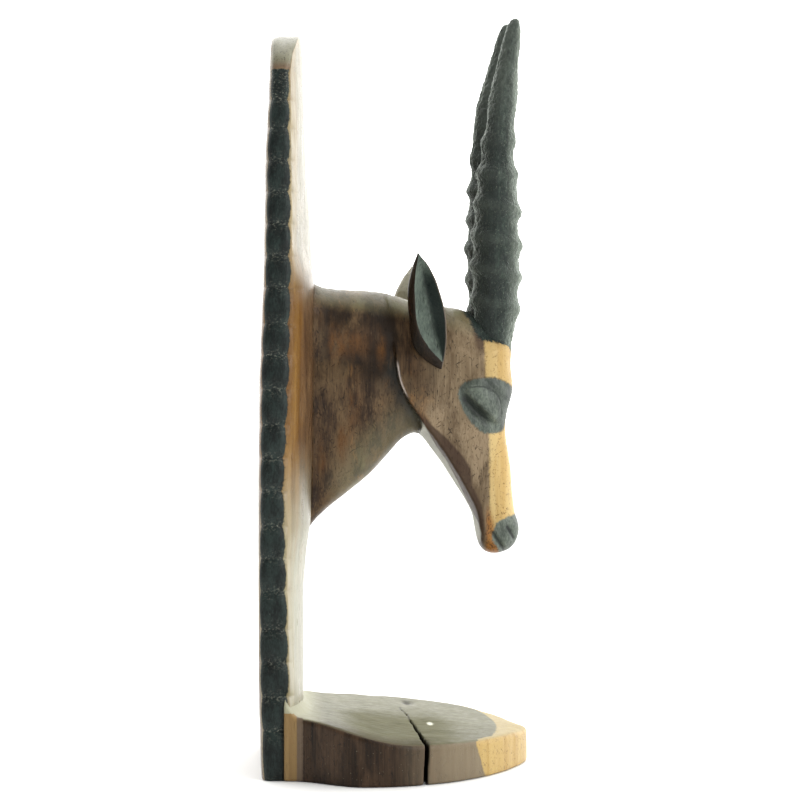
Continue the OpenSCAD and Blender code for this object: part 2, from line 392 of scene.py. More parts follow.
# Black paint: its dark and light streaks
HEAD_BLACK = (0.040, 0.051, 0.041), (0.125, 0.148, 0.118)
BOARD_BLACK = (0.002, 0.0045, 0.004), (0.014, 0.024, 0.021)
HORN_BLACK = (0.005, 0.010, 0.008), (0.027, 0.042, 0.033)
EAR_BLACK = (0.060, 0.076, 0.064), (0.125, 0.155, 0.128)
PAINT_PIT = (0.004, 0.006, 0.005)
HORN_STREAK, HORN_SCRATCH = (0.004, 0.008, 0.007), (0.15, 0.17, 0.13)
# Painted highlight: the horns' front paler, with real pale scuffs on the ring crests; painted shade on
# their rear half
HORN_SHADE, HORN_HIGHLIGHT_AND_SCUFF = (0.003, 0.006, 0.005), (0.140, 0.163, 0.133)
SHEEN_GREEN = (0.90, 1.0, 0.90)
BOARD_SCUFF, BOARD_DUST = (0.15, 0.155, 0.125), (0.22, 0.23, 0.19)
EAR_SHADE, EAR_FIBRE, EAR_LIP = (0.008, 0.013, 0.012), (0.008, 0.011, 0.010), (0.16, 0.13, 0.105)

# Bare wood: its pale and deep streaks
YELLOW_WOOD = (0.53, 0.395, 0.180), (0.44, 0.295, 0.110)
FOOT_YELLOW = (0.44, 0.31, 0.115), (0.35, 0.22, 0.065)
WOOD_FLECK, WOOD_CUT, WOOD_PORE = (0.14, 0.07, 0.025), (0.10, 0.05, 0.02), (0.16, 0.08, 0.03)
# Painted shade: the bare blaze darker above the eyes
FOREHEAD_SHADE_WOOD = (0.36, 0.235, 0.085)
AMBER, AMBER_DOT = (0.25, 0.105, 0.024), (0.04, 0.018, 0.008)
THROAT_WOOD, THROAT_LINE = (0.350, 0.345, 0.295), (0.16, 0.15, 0.11)

ORANGE_WOOD = (0.112, 0.048, 0.013)
# Painted shade on the jaw's downward facet; the same brown marks the real dark drip beside the horn
SHADE_AND_DRIP_BROWN = (0.040, 0.021, 0.013)
# Painted shade: the neck darker high up and towards the head, and the cheek darker under the ear
NECK_SHADE_BROWN = (0.016, 0.010, 0.006)
# Painted sheen: grey-green for the light caught by the neck's top and lower front
NECK_SHEEN_GREEN = (0.138, 0.128, 0.062)
LIT_EDGE = (0.62, 0.55, 0.50)
# Painted shade on the head round the eye, in the grooves and under the jaw, with the patch round the
# eyeball painted darker; painted shade inside the foot's crack, with the knot's own dark
HEAD_SHADE_AND_DARK_PAINT, CRACK_SHADE_AND_KNOT = (0.008, 0.011, 0.010), (0.010, 0.007, 0.005)

STRIP_DEEP, STRIP_ORANGE = (0.125, 0.058, 0.013), (0.21, 0.112, 0.029)
# Painted glare: cream with dark specks, the polished front's reflection of the bright backdrop
GLARE_CREAM, GLARE_CREAM_SPECK = (0.385, 0.40, 0.265), (0.12, 0.115, 0.080)
# The bare top: grey-white, partly a painted sheen of the overhead light
CAP_DEEP, CAP_LIGHT, CAP_SPOT = (0.14, 0.135, 0.090), (0.22, 0.21, 0.145), (0.07, 0.065, 0.045)
RED_LINE = (0.13, 0.075, 0.045)

# The foot's top: greyer and paler than its side, partly a painted sheen of the overhead light
TOP_DEEP, TOP_LIGHT = (0.118, 0.114, 0.069), (0.178, 0.172, 0.111)
# Painted shade towards the top's near rim, and a painted highlight on its fillet beside the board
TOP_RIM_SHADE, TOP_LINE, FILLET_HIGHLIGHT = (0.085, 0.075, 0.045), (0.05, 0.045, 0.03), (0.40, 0.39, 0.27)
TOP_SPECK, TOP_BARE = (0.42, 0.38, 0.25), (0.33, 0.29, 0.165)
FLANK_DEEP, FLANK_LIGHT = (0.15, 0.115, 0.072), (0.215, 0.172, 0.112)
FOOT_STRIP = (0.17, 0.10, 0.038), (0.30, 0.20, 0.085)
GREY_STRIP = (0.085, 0.055, 0.035), (0.17, 0.125, 0.085)
CHIP = (0.75, 0.74, 0.62)


def painted_area(s, mask, wobble, blur):
    """1 inside the painted area that a mask gives as a distance, 0 outside."""
    rough_edge = s.math("SUBTRACT", s.noise(900, 900, 700, 4.0, 0.7), 0.5)
    return s.ramp(s.plus(mask, s.times(rough_edge, wobble)), -blur, blur)


def wood_grain(s):
    """Upright grain: returns soft streaks, fine lines and dark pores, each from 0 to 1."""
    streaks = s.noise(190, 190, 8, 4.0, 0.6, 0.4)
    fine = s.noise(1500, 1500, 45, 3.0, 0.6)
    pores = s.ramp(s.noise(1700, 1700, 240, 2.0, 0.5), 0.655, 0.70)
    return streaks, fine, pores


def tool_cuts(s):
    """Short dark cuts that lean either way, from 0 to 1."""
    one = s.ramp(s.noise(500, 1500, 330, 2.0, 0.5, 0.3, lean=32), 0.675, 0.71)
    other = s.ramp(s.noise(500, 1400, 300, 2.0, 0.5, 0.3, lean=-58), 0.685, 0.72)
    return s.math("MAXIMUM", one, other)


def specks(s, low=0.70):
    return s.ramp(s.noise(1500, 1500, 1300, 3.0, 0.6), low, low + 0.04)


def stained(s, dark, mid, light, worn, rubbed_low=0.60, pale=0.45):
    """Stain over upright grain, rubbed through to lighter wood in places: colour and height."""
    streaks, fine, pores = wood_grain(s)
    patches = s.noise(55, 55, 24, 4.0, 0.6, 0.6)
    rubbed = s.ramp(s.noise(70, 70, 22, 5.0, 0.68, 0.5), rubbed_low, rubbed_low + 0.09)
    cuts = tool_cuts(s)
    colour = s.coats(dark, (mid, s.ramp(streaks, 0.38, 0.60)),
                     (light, s.ramp(patches, 0.46, 0.64)),
                     (worn, rubbed, s.ramp(fine, 0.3, 0.6)),
                     (light, s.ramp(fine, 0.50, 0.68), 0.45),
                     (dark, s.ramp(fine, 0.50, 0.34), 0.45),
                     (STAIN_PORE, pores, 0.75),
                     (STAIN_CUT, cuts, 0.8),
                     (PALE_SPECK, specks(s), pale))
    height = s.plus(s.times(fine, 0.6), s.times(pores, -0.8), s.times(cuts, -1.2),
                    s.times(s.noise(300, 300, 120, 3.0), 0.9))
    return colour, height


def black_paint(s, streaks, pitted=0.35):
    """Thin grey-black paint that lets brush and tool marks through: colour and height."""
    dark, light = streaks
    grain = s.noise(1300, 1300, 500, 3.0, 0.65)
    broad = s.noise(220, 220, 90, 3.0)
    pits = s.ramp(s.cells(1500, 1500, 900), 0.10, 0.26)
    colour = s.coats(dark, (light, s.ramp(s.plus(grain, broad), 0.75, 1.3)),
                     (PAINT_PIT, s.math("SUBTRACT", 1.0, pits), pitted))
    return colour, s.plus(grain, s.times(pits, 0.6))


def natural_wood(s, streaks=YELLOW_WOOD):
    """Bare yellow wood with small dark flecks."""
    pale, deep = streaks
    broad, fine, pores = wood_grain(s)
    flecks = s.ramp(s.noise(1300, 1300, 800, 3.0, 0.6), 0.61, 0.66)
    return s.coats(pale, (deep, s.ramp(broad, 0.35, 0.7)),
                   (deep, s.ramp(fine, 0.45, 0.7), 0.3),
                   (WOOD_FLECK, flecks, 0.7),
                   (WOOD_CUT, tool_cuts(s), 0.8),
                   (WOOD_PORE, pores, 0.35))


def horn_colour(s):
    """Rough grey-black paint with a green cast and pale scratches."""
    colour, _ = black_paint(s, HORN_BLACK, 0.6)
    streaks = s.ramp(s.noise(500, 500, 60, 3.0), 0.40, 0.62)
    bits = s.ramp(s.noise(1400, 1400, 1000, 4.0, 0.7), 0.58, 0.70)
    return s.coats(colour, (HORN_STREAK, s.math("SUBTRACT", 1.0, streaks), 0.6),
                   (HORN_SCRATCH, bits, 0.7))


def uneven(s, z, low, high):
    """Roughness that changes slowly from place to place."""
    return s.ramp(s.noise(300, 300, z), 0.2, 0.8, low, high)


def carved_body_material(name):
    """Neck and head: stain, bare blaze, painted eyes and nose, with painted shade and painted sheen."""
    s = Surface(name)
    neck, height = stained(s, **NECK_STAIN, rubbed_low=0.56, pale=0.25)
    head, _ = stained(s, **HEAD_STAIN, rubbed_low=0.66)
    cloudy = s.ramp(s.noise(90, 90, 45, 4.0, 0.65), 0.28, 0.56)
    blotches = s.ramp(s.noise(170, 170, 60, 5.0, 0.75), 0.32, 0.66)
    # painted shade: the bare blaze darker above the eyes
    bare = s.coats(natural_wood(s), (FOREHEAD_SHADE_WOOD, "forehead", 0.45))
    dots = s.ramp(s.noise(1000, 1000, 800, 3.0, 0.6), 0.54, 0.60)
    lines = s.ramp(s.noise(900, 1500, 130, 3.0, 0.6, 0.0, lean=-32), 0.60, 0.66)
    paint = painted_area(s, "paint", 2.8, 0.6)
    paint_colour, paint_height = black_paint(s, HEAD_BLACK)
    horn_paint = painted_area(s, "horn_paint", 5.0, 0.8)
    colour = s.coats(neck, (head, "head_tone"),
                     # painted shade high on the neck and under the ear
                     (NECK_SHADE_BROWN, "painted_neck_shade", cloudy),
                     # painted sheen on the neck's top and lower front
                     (NECK_SHEEN_GREEN, "painted_sheen", s.ramp(cloudy, 0.0, 1.0, 0.9, 0.45)),
                     (ORANGE_WOOD, "orange", blotches),
                     # painted shade on the jaw's facet, and the real drip beside the horn
                     (SHADE_AND_DRIP_BROWN, "shade", 0.85),
                     (bare, painted_area(s, "blaze", 2.4, 0.9)),
                     (s.coats(AMBER, (AMBER_DOT, dots, 0.75)), "amber", 0.9),
                     (s.coats(THROAT_WOOD, (THROAT_LINE, lines, 0.5)), "throat"),
                     (LIT_EDGE, "edge"),
                     (paint_colour, paint),
                     (horn_colour(s), horn_paint),
                     # painted shade round the eye, in the grooves and under the jaw
                     (HEAD_SHADE_AND_DARK_PAINT, "dark"))
    rough = s.plus(uneven(s, 60, 0.30, 0.48), s.times(paint, 0.06))
    height = s.plus(height, s.times(paint, paint_height, 0.8),
                    s.times(horn_paint, s.noise(800, 800, 500, 4.0, 0.7), 2.0))
    polish = s.plus(0.14, s.times(s.math("MAXIMUM", "painted_sheen", paint), 0.24))
    return s.finish(colour, rough, height, 0.16, polish)


def board_material():
    """Brown stain, orange and cream on the front, the cream a painted glare, black pillows along the
    edges.
    """
    s = Surface("board_wood")
    brown, height = stained(s, **BOARD_STAIN)
    orange = s.coats(STRIP_DEEP, (STRIP_ORANGE, s.ramp(s.noise(200, 200, 10, 4.0), 0.35, 0.65)))
    ragged = s.ramp(s.noise(150, 150, 12, 3.0), 0.3, 0.7, -2.0, 2.0)
    # patches for the painted glare below
    worn = s.ramp(s.noise(260, 260, 9, 5.0, 0.65), 0.36, 0.60)
    spots = s.ramp(s.noise(1000, 1000, 1000, 4.0, 0.7), 0.56, 0.64)
    # the bare top's grey-white, partly painted sheen
    cap = s.coats(CAP_DEEP, (CAP_LIGHT, s.noise(200, 200, 40)), (CAP_SPOT, spots))
    paint = painted_area(s, "paint", 1.6, 0.3)
    paint_colour, paint_height = black_paint(s, BOARD_BLACK, 0.3)
    scuffs = s.ramp(s.noise(1100, 700, 1100, 4.0, 0.7), 0.50, 0.68)
    paint_colour = s.coats(paint_colour, (BOARD_SCUFF, scuffs, "scuff"),
                           (BOARD_DUST, specks(s, 0.715), 0.7))
    colour = s.coats(brown, (orange, s.ramp(s.plus("bare", ragged), -2.5, 2.5)),
                     # painted glare above and below the neck
                     (s.coats(GLARE_CREAM, (GLARE_CREAM_SPECK, specks(s, 0.66))),
                      s.ramp(worn, 0.0, 1.0, 0.72, 1.0), "pale"),
                     (cap, "cap"),
                     (RED_LINE, "red_line"),
                     (paint_colour, paint))
    height = s.plus(height, s.times(paint, paint_height, 0.6))
    rough = s.plus(uneven(s, 40, 0.25, 0.40), s.times(paint, 0.18))
    polish = s.plus(0.22, s.times("polished", 0.53))
    return s.finish(colour, rough, height, 0.14, polish)


def foot_material():
    """Dark stained side, paler streaked top that is partly a painted sheen, bare wood at the tip."""
    s = Surface("foot_wood")
    side, height = stained(s, **FOOT_STAIN, pale=0.7)
    # the top, greyer and paler than the side: partly a painted sheen
    top = s.coats(TOP_DEEP, (TOP_LIGHT, s.ramp(s.noise(700, 50, 700, 4.0, 0.6), 0.30, 0.70)),
                  # painted shade towards the near rim
                  (TOP_RIM_SHADE, "near_rim", 0.9),
                  (TOP_LINE, s.ramp(s.noise(1200, 260, 1200, 3.0), 0.66, 0.72), 0.6),
                  (TOP_SPECK, specks(s), 0.5),
                  # painted highlight on the fillet beside the board
                  (FILLET_HIGHLIGHT, "fillet_highlight", 0.7))
    flank = s.coats(FLANK_DEEP, (FLANK_LIGHT, s.noise(300, 300, 25)), (top, "on_top"))
    strip = s.coats(FOOT_STRIP[0], (FOOT_STRIP[1], s.noise(500, 500, 8)))
    grey = s.coats(GREY_STRIP[0], (GREY_STRIP[1], s.noise(700, 700, 10)))
    # bare wood greyed on the top, partly as painted sheen
    bare = s.coats(natural_wood(s, FOOT_YELLOW), (TOP_BARE, "on_top", 0.6))
    colour = s.coats(side, (flank, "taupe"),
                     (strip, painted_area(s, "strip", 1.0, 0.4)),
                     (grey, painted_area(s, "grey_strip", 1.0, 0.4)),
                     (bare, painted_area(s, "blaze", 2.8, 0.5)),
                     # painted shade inside the crack, and the knot's own dark
                     (CRACK_SHADE_AND_KNOT, "dark"),
                     (CHIP, "chip"))
    rough = s.plus(uneven(s, 60, 0.30, 0.46), s.times("on_top", 0.15))
    height = s.times(height, s.math("SUBTRACT", 1.0, s.times("on_top", 0.75)))
    polish = s.coats((0.16, 0.16, 0.16), (s.ramp("glare", 0.0, 1.0, 0.005, 0.15), "on_top"))
    return s.finish(colour, rough, height, 0.14, polish)


def horn_material():
    """Rough black paint, paler in front as a painted highlight, with pale scuffs on the ring crests and a
    faint sheen.
    """
    s = Surface("horn_black")
    height = s.plus(s.noise(1300, 1300, 500, 3.0, 0.65), s.noise(800, 800, 500, 4.0, 0.7))
    rough = s.ramp(s.noise(500, 500, 120), 0.3, 0.7, 0.42, 0.56)
    scuffs = s.ramp(s.noise(600, 600, 260, 4.0, 0.7), 0.30, 0.62, 0.4, 1.0)
    # painted highlight in front, with scuffs on the ring crests
    colour = s.coats(horn_colour(s), (HORN_SHADE, "shaded"), (HORN_HIGHLIGHT_AND_SCUFF, "highlight_and_scuffs", scuffs))
    sheen = {"Sheen Weight": 0.70, "Sheen Roughness": 0.4, "Sheen Tint": SHEEN_GREEN}
    return s.finish(colour, rough, height, 0.45, 0.25, **sheen)


def ear_material():
    """Near-black stain, taupe on the back that is partly a painted sheen, grey-black paint in the dish.
    """
    s = Surface("ear_black")
    brown, height = stained(s, **EAR_STAIN, pale=0.1)
    taupe, _ = stained(s, **EAR_BACK_STAIN_AND_SHEEN)
    inner, paint_height = black_paint(s, EAR_BLACK, 0.15)
    fibres = s.ramp(s.noise(1000, 1000, 90, 3.0), 0.63, 0.68)
    inner = s.coats(inner, (EAR_SHADE, "shaded"), (EAR_FIBRE, fibres, 0.85))
    colour = s.coats(brown, (taupe, "back"),
                     (inner, painted_area(s, "paint", 0.7, 0.2)),
                     (EAR_LIP, "lip", 0.8))
    polish = s.plus(0.15, s.times("back", 0.4))
    return s.finish(colour, uneven(s, 60, 0.36, 0.50), s.plus(height, paint_height), 0.10, polish)


# ---- the board ----

ARCH_H = 22.0
TAPER_Z = 150.0
SHOULDER_Z = BOARD_H - ARCH_H
BOARD_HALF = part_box("back_board")[1].x / MM
SHOULDER_HALF = 42.0
# Heights of the gouge cuts between the pillows
NOTCHES = [-3, 23.7, 39.4, 55.6, 71.3, 89.6, 105, 120.2, 136.8, 152.5, 168.1, 184.8, 201.4, 216.1,
           233.3, 248.5, 263.9, 279.3, 294.4, 310.2, 323.9, 338.4]

# At heights: distance of the black edge's rear corner, of its front corner, and of the crest
EDGE_REAR = [(0, 2.6), (25, 1.7), (60, 0.9), (90, 0.6), (150, 1.2), (190, 1.5), (240, 3.4),
             (300, 4.5), (335, 6.4), (345, 6.8), (354, 7.2), (358, 8.2), (360, 9.8)]
EDGE_FRONT = [(0, 13.1), (25, 14.3), (60, 13.8), (100, 12.6), (140, 11.7), (165, 13.0),
              (190, 14.2), (240, 15.1), (300, 14.8), (339, 14.5), (347, 15.6), (353, 17.8),
             (360, 19.8)]
CREST = [(0, 22.0), (90, 22.4), (105, 23.4), (120, 25.0), (160, 26.0), (235, 26.8), (250, 26.3),
         (268, 25.8), (290, 24.0), (320, 22.9), (345, 22.2), (360, 21.4)]


def board_half(z):
    lower = BOARD_HALF - (BOARD_HALF - SHOULDER_HALF) * (
        np.maximum(0, z - TAPER_Z) / (SHOULDER_Z - TAPER_Z)) ** 2
    arch = SHOULDER_HALF * np.sqrt(np.clip(1 - ((z - SHOULDER_Z) / ARCH_H) ** 2, 0, 1))
    return np.where(z > SHOULDER_Z, arch, lower)


def pillow_part(z):
    """0 and 1 at the notches either side of a pillow."""
    k = int(np.clip(np.searchsorted(NOTCHES, z) - 1, 0, len(NOTCHES) - 2))
    return min(max((z - NOTCHES[k]) / (NOTCHES[k + 1] - NOTCHES[k]), 0.0), 1.0)


def board_front(x, z):
    """Distance of the crowned front face."""
    half = np.maximum(board_half(z), 1.0)
    share = np.clip(np.abs(x) / half, 0, 1)
    edge, crest = table(z, EDGE_FRONT), table(z, CREST)
    by_neck = rise(z, 92, 30) * fall(z, 256, 20)
    flare = np.maximum(crest - 22.4, 0) * (1 - hump(x, 34.0)) * (1 - by_neck)
    return edge + (crest + 0.6 * by_neck - flare - edge) * (1 - share ** (2.4 + 0.9 * by_neck))


BOARD_STEP = 0.72


def board_heights():
    straight = np.arange(0, SHOULDER_Z, BOARD_STEP)
    arch = SHOULDER_Z + ARCH_H * np.sin(np.linspace(0, math.pi / 2, 44))
    start = np.array([0.0, 0.25, 0.7])
    return np.concatenate([start, straight[2:], arch[:-1], [BOARD_H - 0.003]])


BARE_STRIP = 8.0                            # width of the orange strip beside the black edge
SIDE_N, FRONT_N, BACK_N = 22, 44, 20        # points on an edge, the front and the back


def across(edge, front, back):
    """Values round one level of the board: edge, front, other edge, back."""
    edge = edge + np.zeros(SIDE_N)
    return strung((SIDE_N, FRONT_N, SIDE_N, BACK_N), edge, front, edge[::-1], back)


def make_board():
    """Sweeps the board upwards, level by level."""
    rings, levels = [], []
    for z in board_heights():
        half = float(board_half(z))
        swell = math.sin(math.pi * pillow_part(z))
        on_cap = z > NOTCHES[-1]
        below_cap = float(fall(z, NOTCHES[-1], 4))           # no cut at the arched top
        cut = (1 - swell ** 0.40) * below_cap                # narrow, across the edge
        scallop = (1 - swell ** 0.65) * below_cap            # broad, along its corners
        rear = float(table(z, EDGE_REAR)) + 0.8 * scallop
        front = float(table(z, EDGE_FRONT)) + 0.3 - 1.3 * scallop
        bevel = min(1.4, half * 0.3)
        # the edge face, from its rear corner to its front corner
        t = np.linspace(0, 1, SIDE_N)
        roundness = 1.5 * np.abs(2 * t - 1) ** 5 + 0.35 * (2 * t - 1) ** 2
        edge_x = np.maximum(half - roundness * min(1, half / 20) - 1.7 * cut, 0.2)
        edge_b = rear + (front - rear) * t
        # the crowned front, then the other edge, then the back
        u = np.linspace(0, 1, FRONT_N + 2)[1:-1]
        front_x = edge_x[-1] * np.cos(np.pi * u)
        crowned = board_front(front_x, z)
        front_b = crowned - 1.0 * scallop * np.exp(-(edge_x[-1] - np.abs(front_x)) / 3.5)
        v = np.linspace(0, 1, BACK_N + 2)[1:-1]
        back_x = -(edge_x[0] - bevel) * np.cos(np.pi * v)
        near_edge = np.exp(-(edge_x[0] - bevel - np.abs(back_x)) / 2.0)
        back_b = rear - 1.4 - 0.8 * scallop * (1 - near_edge) + 0.5 * (back_x / max(half, 1)) ** 2
        x = np.concatenate([edge_x, front_x, -edge_x[::-1], back_x])
        b = across(edge_b, front_b, back_b)
        rings.append(np.stack([x, np.maximum(b, 0.02), np.full_like(x, z)], 1))
        # signed distances for the paint and for the bare strip beside it
        on_edge = np.minimum(edge_b - rear + 0.7, front - edge_b - 0.15)
        on_edge = np.minimum(on_edge, NOTCHES[-1] + 0.3 - z)
        on_front = -np.abs(np.abs(front_x) - edge_x[-1]) - 0.4 - 3.0 * on_cap
        on_back = -np.abs(np.abs(back_x) - edge_x[0]) + 0.3 - 3.0 * on_cap
        above, below = float(rise(z, 222, 40)), float(fall(z, 165, 65))
        by_neck = float(rise(z, 122, 36) * fall(z, 240, 9))
        on_top = float(fall(half, 16, 8))
        # painted glare: the front paler above and below the neck, as the polished wood's reflection of
        # the bright backdrop; beside the neck, which hides the backdrop, it stays brown
        painted_glare = 0.35 * above + 0.55 * below
        wear = min(1.0, 1.3 * cut ** 1.2 + 0.55 * float(rise(z, 322, 6)))
        # the bare top above the last notch, and front and back near its apex: grey-white, partly a
        # painted sheen
        capped = float(rise(z - NOTCHES[-1], 0.4, 1.0))
        levels.append({
            "paint": across(on_edge, on_front, on_back),
            "bare": across(BARE_STRIP, BARE_STRIP + on_front, -6),
            "pale": across(painted_glare, painted_glare, 0),
            "polished": across(0, 1 - by_neck - 0.50 * above, 0.3 + 0.4 * near_edge),
            "scuff": across(wear, wear, wear),
            "cap": across(capped, on_top, on_top),
            "red_line": across(0.75 * hump(max(z - 339.5, 0), 2.6) * on_cap, 0, 0)})
    points = np.concatenate(rings)
    points[:, 1] += 0.10 * lumps(*points.T, 14.0, 3) + 0.05 * lumps(*points.T, 4.0, 4)
    points[:, 1] = np.maximum(points[:, 1], 0.0)
    points[:, 0] += 0.25 * lumps(*points.T, 9.0, 5) * (np.abs(points[:, 0]) > 30)
    points[:, 2] = np.clip(points[:, 2], 0, BOARD_H)
    return piece("carved_board", points, capped_tube(len(rings), len(rings[0])), board_material(),
                 ["back_board"], stacked(levels))


# ---- the foot ----

FOOT_ROOT_HALF = 58.5
FOOT_WIDE_B = 50.0
FOOT_REAR_B = 14.0
# The top's height along the right rim and along the left rim, by distance
NEAR_RIM = [(10, 30.5), (23, 29.4), (30, 28.2), (38, 26.5), (46, 24.4), (55, 22.0), (65, 19.9),
            (75, 18.9), (93, 18.5), (104, 18.0), (115, 17.6), (125, 17.0), (134, 15.6)]
FAR_RIM = [(10, 29.4), (23, 28.4), (31, 26.0), (41, 24.4), (56, 23.2), (71, 22.5), (85, 21.6),
           (97, 21.0), (104, 20.6), (111, 19.9), (117, 18.8), (125, 17.9), (134, 15.6)]


def foot_half(b):
    rear = FOOT_ROOT_HALF + (FOOT_HALF - FOOT_ROOT_HALF) * rise(b, FOOT_REAR_B, FOOT_WIDE_B - FOOT_REAR_B)
    t = np.clip((b - FOOT_WIDE_B) / (FOOT_DEPTH - FOOT_WIDE_B), 0, 1)
    return np.where(b < FOOT_WIDE_B, rear, FOOT_HALF * (1 - t ** 2.25) ** 0.75)


def foot_top(x, b):
    near, far = (sum(table(b + d, rim) for d in (-4, -2, 0, 2, 4)) / 5 for rim in (NEAR_RIM, FAR_RIM))
    return near + (far - near) * rise(x, -60, 120)


# The drying crack's path over the top, and its depth across the foot
CRACK = curve([(32.7, 71.7), (9.4, 74.4), (-6, 74.9), (-21.9, 76), (-51.7, 77.2), (-68.4, 78),
               (-80, 78.6)], 8, False)
CRACK_DEPTH = [(-80, 60), (-60, 32), (-40, 18), (0, 7), (32, 1)]


def crack_field(x, b, z):
    """Negative inside the crack."""
    wander = 0.55 * lumps(x * 0 + 1, z * 0 + 1, z, 7.0, 11) + 0.25 * lumps(x, x * 0, z * 0, 5.0, 12)
    away = line_distance(CRACK, x, b + wander)
    wide = 0.06 + 1.02 * np.clip((33 - x) / 111, 0, 1) ** 1.15
    return np.maximum(away - wide, foot_top(x, b) - table(x, CRACK_DEPTH) - z)


FOOT_STEP = 0.85
KNOT = (55, 77.5)
FILLET_R = 5.0                   # the top's fillet against the board


def make_foot():
    """Carves the foot, with its hollow top, its crack and its knot."""
    low = (-FOOT_HALF - 2, 10.0, -2.0)
    high = (FOOT_HALF + 2, FOOT_DEPTH + 2, NEAR_RIM[0][1] + 12)
    axes = [np.arange(start, end, FOOT_STEP) for start, end in zip(low, high)]
    x, b = np.meshgrid(axes[0], axes[1], indexing="ij")
    t = np.sin(np.linspace(0, math.pi / 2, 60))
    edge_b = 8 + (FOOT_DEPTH - 8) * t
    edge = np.stack([foot_half(edge_b), edge_b], 1)
    outline = np.concatenate([edge, (edge * [-1, 1])[::-1]])
    plan = outline_distance(outline, x, b)
    front = board_front(x, np.full_like(x, 25.0))
    fillet = 0.8 * FILLET_R * np.clip(1 - (b - front) / FILLET_R, 0, 1.6) ** 2
    half = np.maximum(foot_half(b), 5)
    top = foot_top(x, b) + fillet + 0.5 * (1 - (x / half) ** 2)
    top = top + 0.22 * lumps(x, b, b * 0, 16.0, 21) + 0.1 * lumps(x, b, b * 0, 5.0, 22)
    top = top - 1.6 * np.exp(-oval(x, b, KNOT, (8, 3.0)) ** 2)
    X, B, Z = np.meshgrid(*axes, indexing="ij")
    side = plan[:, :, None] + 0.18 * lumps(X, B, Z * 0.25, 7.0, 23)
    solid = rounded_and(Z - top[:, :, None], side, 2.2, 2.2)
    solid = smooth_max(solid, -Z, 0.8)
    solid = np.maximum(solid, -crack_field(X, B, Z))
    solid = np.maximum(solid, front[:, :, None] - 2.5 - B)
    points, quads = surface_net(solid, low, FOOT_STEP)
    points = relaxed(points, quads, 1, 0.4)
    points[:, 2] = np.maximum(points[:, 2], 0.0)
    px, pb, pz = points.T
    rim = outline_distance(outline, px, pb)
    over = foot_top(px, pb) + 0.3
    on_side = rise(rim, -1.7, 1.2) * fall(pz, over, 1.2)
    top_bare = pb - (118 - 0.0035 * px ** 2)
    rim_bare = np.minimum(pb - 104.5, rim + 3.2)
    blaze = np.where(on_side > 0.5, pb - 105.5 + 0.30 * (pz - 9), np.maximum(top_bare, rim_bare))
    by_side = (rim > -3) & (pz < over + 1.5)
    past_crack = pb > table(pz, [(0, 78), (20, 78.5)])
    taupe = np.clip(1 - on_side * fall(pb, 100, 40) * (1 - 0.55 * past_crack), 0, 1)
    # painted shade: the crack dark, the darker the deeper inside; the knot is the wood's own dark
    crack = ease(1 - crack_field(px, pb, pz) / 0.45)
    inner = rise(over - pz, 0.3, 1.2) * rise(-rim, 0.5, 1.0)
    knot = 0.72 * np.exp(-((px - KNOT[0]) / 9) ** 4 - ((pb - KNOT[1]) / 2.2) ** 2)
    dark = np.clip(crack * np.maximum(inner, 0.75) + knot, 0, 1)
    chip = ease(1.6 - 1.2 * oval(px, pb, (-12.6, 84.5), (4.5, 1.5))) * (pz > over - 3)
    # painted shade: the top darker towards its near rim
    near_rim = rise(rim, -26, 24) * fall(px, 70, 80) * (1 - 0.7 * rise(pb, 77, 8))
    glare = np.clip(rise(px, -15, 65) + fall(pb, 52, 26) + 0.8 * rise(pb, 84, 26), 0, 1)
    on_top = 1 - on_side
    # the top paler beside the board is a painted highlight on the fillet
    masks = {"blaze": blaze, "strip": np.where(by_side, 18.2 - pb, -5),
             "grey_strip": np.where(by_side, np.minimum(20.8 - pb, pb - 18.0), -5),
             "taupe": taupe, "dark": dark, "chip": chip, "near_rim": near_rim * on_top,
             "on_top": on_top, "glare": glare, "fillet_highlight": fall(pb, 34, 12) * on_top}
    return piece("carved_foot", points, quads, foot_material(), ["foot"], masks)


# ---- neck and head: one carved shape, cut at the line of the jaw ----

# The side outline of neck and head together, as [distance, height]
SIDE = curve([
    (14, 250), (20, 243.5), (24, 239.5), (28.5, 236.8), (34, 235.2), (45, 234.5), (58, 233.7),
    (66.5, 232), (74, 229.6), (84, 227.6), (92, 226.4), (99, 225.4), (105, 223), (112, 219.0),
    (119, 213.5), (124.3, 208.5), (125.2, 204.5), (124.9, 200), (125.0, 195), (125.7, 189),
    (125.7, 184), (124.5, 179), (123.1, 174), (122.5, 167.5), (123.2, 160), (125.0, 148), (126.2, 134),
    (127.4, 124.5), (129.0, 119.5), (129.5, 114.8), (127.6, 108.8), (123, 105.0), (117, 103.7),
    (112.3, 105.2), (109.6, 109.4), (108.0, 116), (106.2, 124), (101.5, 133), (91.5, 148.6),
    (84, 158.5), (80.2, 162.6), (76.5, 163.4), (70.7, 160.2), (64, 153), (55.5, 143.7), (45, 135),
    (35, 127), (28, 120.5), (23.5, 114), (18, 103), (10, 95), (4, 180),
], 6)

# The line where the cheek and jaw stand proud of the neck
JAW_LINE = curve([(58, 262), (61, 240), (64.5, 218), (66.6, 203), (68.4, 191), (71, 184), (74.6, 177.5),
                  (79.6, 170), (79.8, 164), (79.2, 158), (79, 130)], 6, False)

# The sharp lower edge of the jaw's side, from the throat to the mouth
BEVEL_LINE = [(76, 176), (77.7, 173.7), (82.4, 166.6), (88.1, 157.2), (93.7, 149.3), (98.7, 140.5),
              (102.7, 132.6), (106.8, 124.6), (109.2, 119), (110.5, 114)]

# The upper edge of the jaw's facet that is painted darker as shade
FACET_LINE = [(79, 176), (84.8, 168), (92.8, 161), (100.8, 152.4), (104.7, 146), (105.9, 137.2),
              (109.7, 129.4), (111.3, 123), (112, 116)]

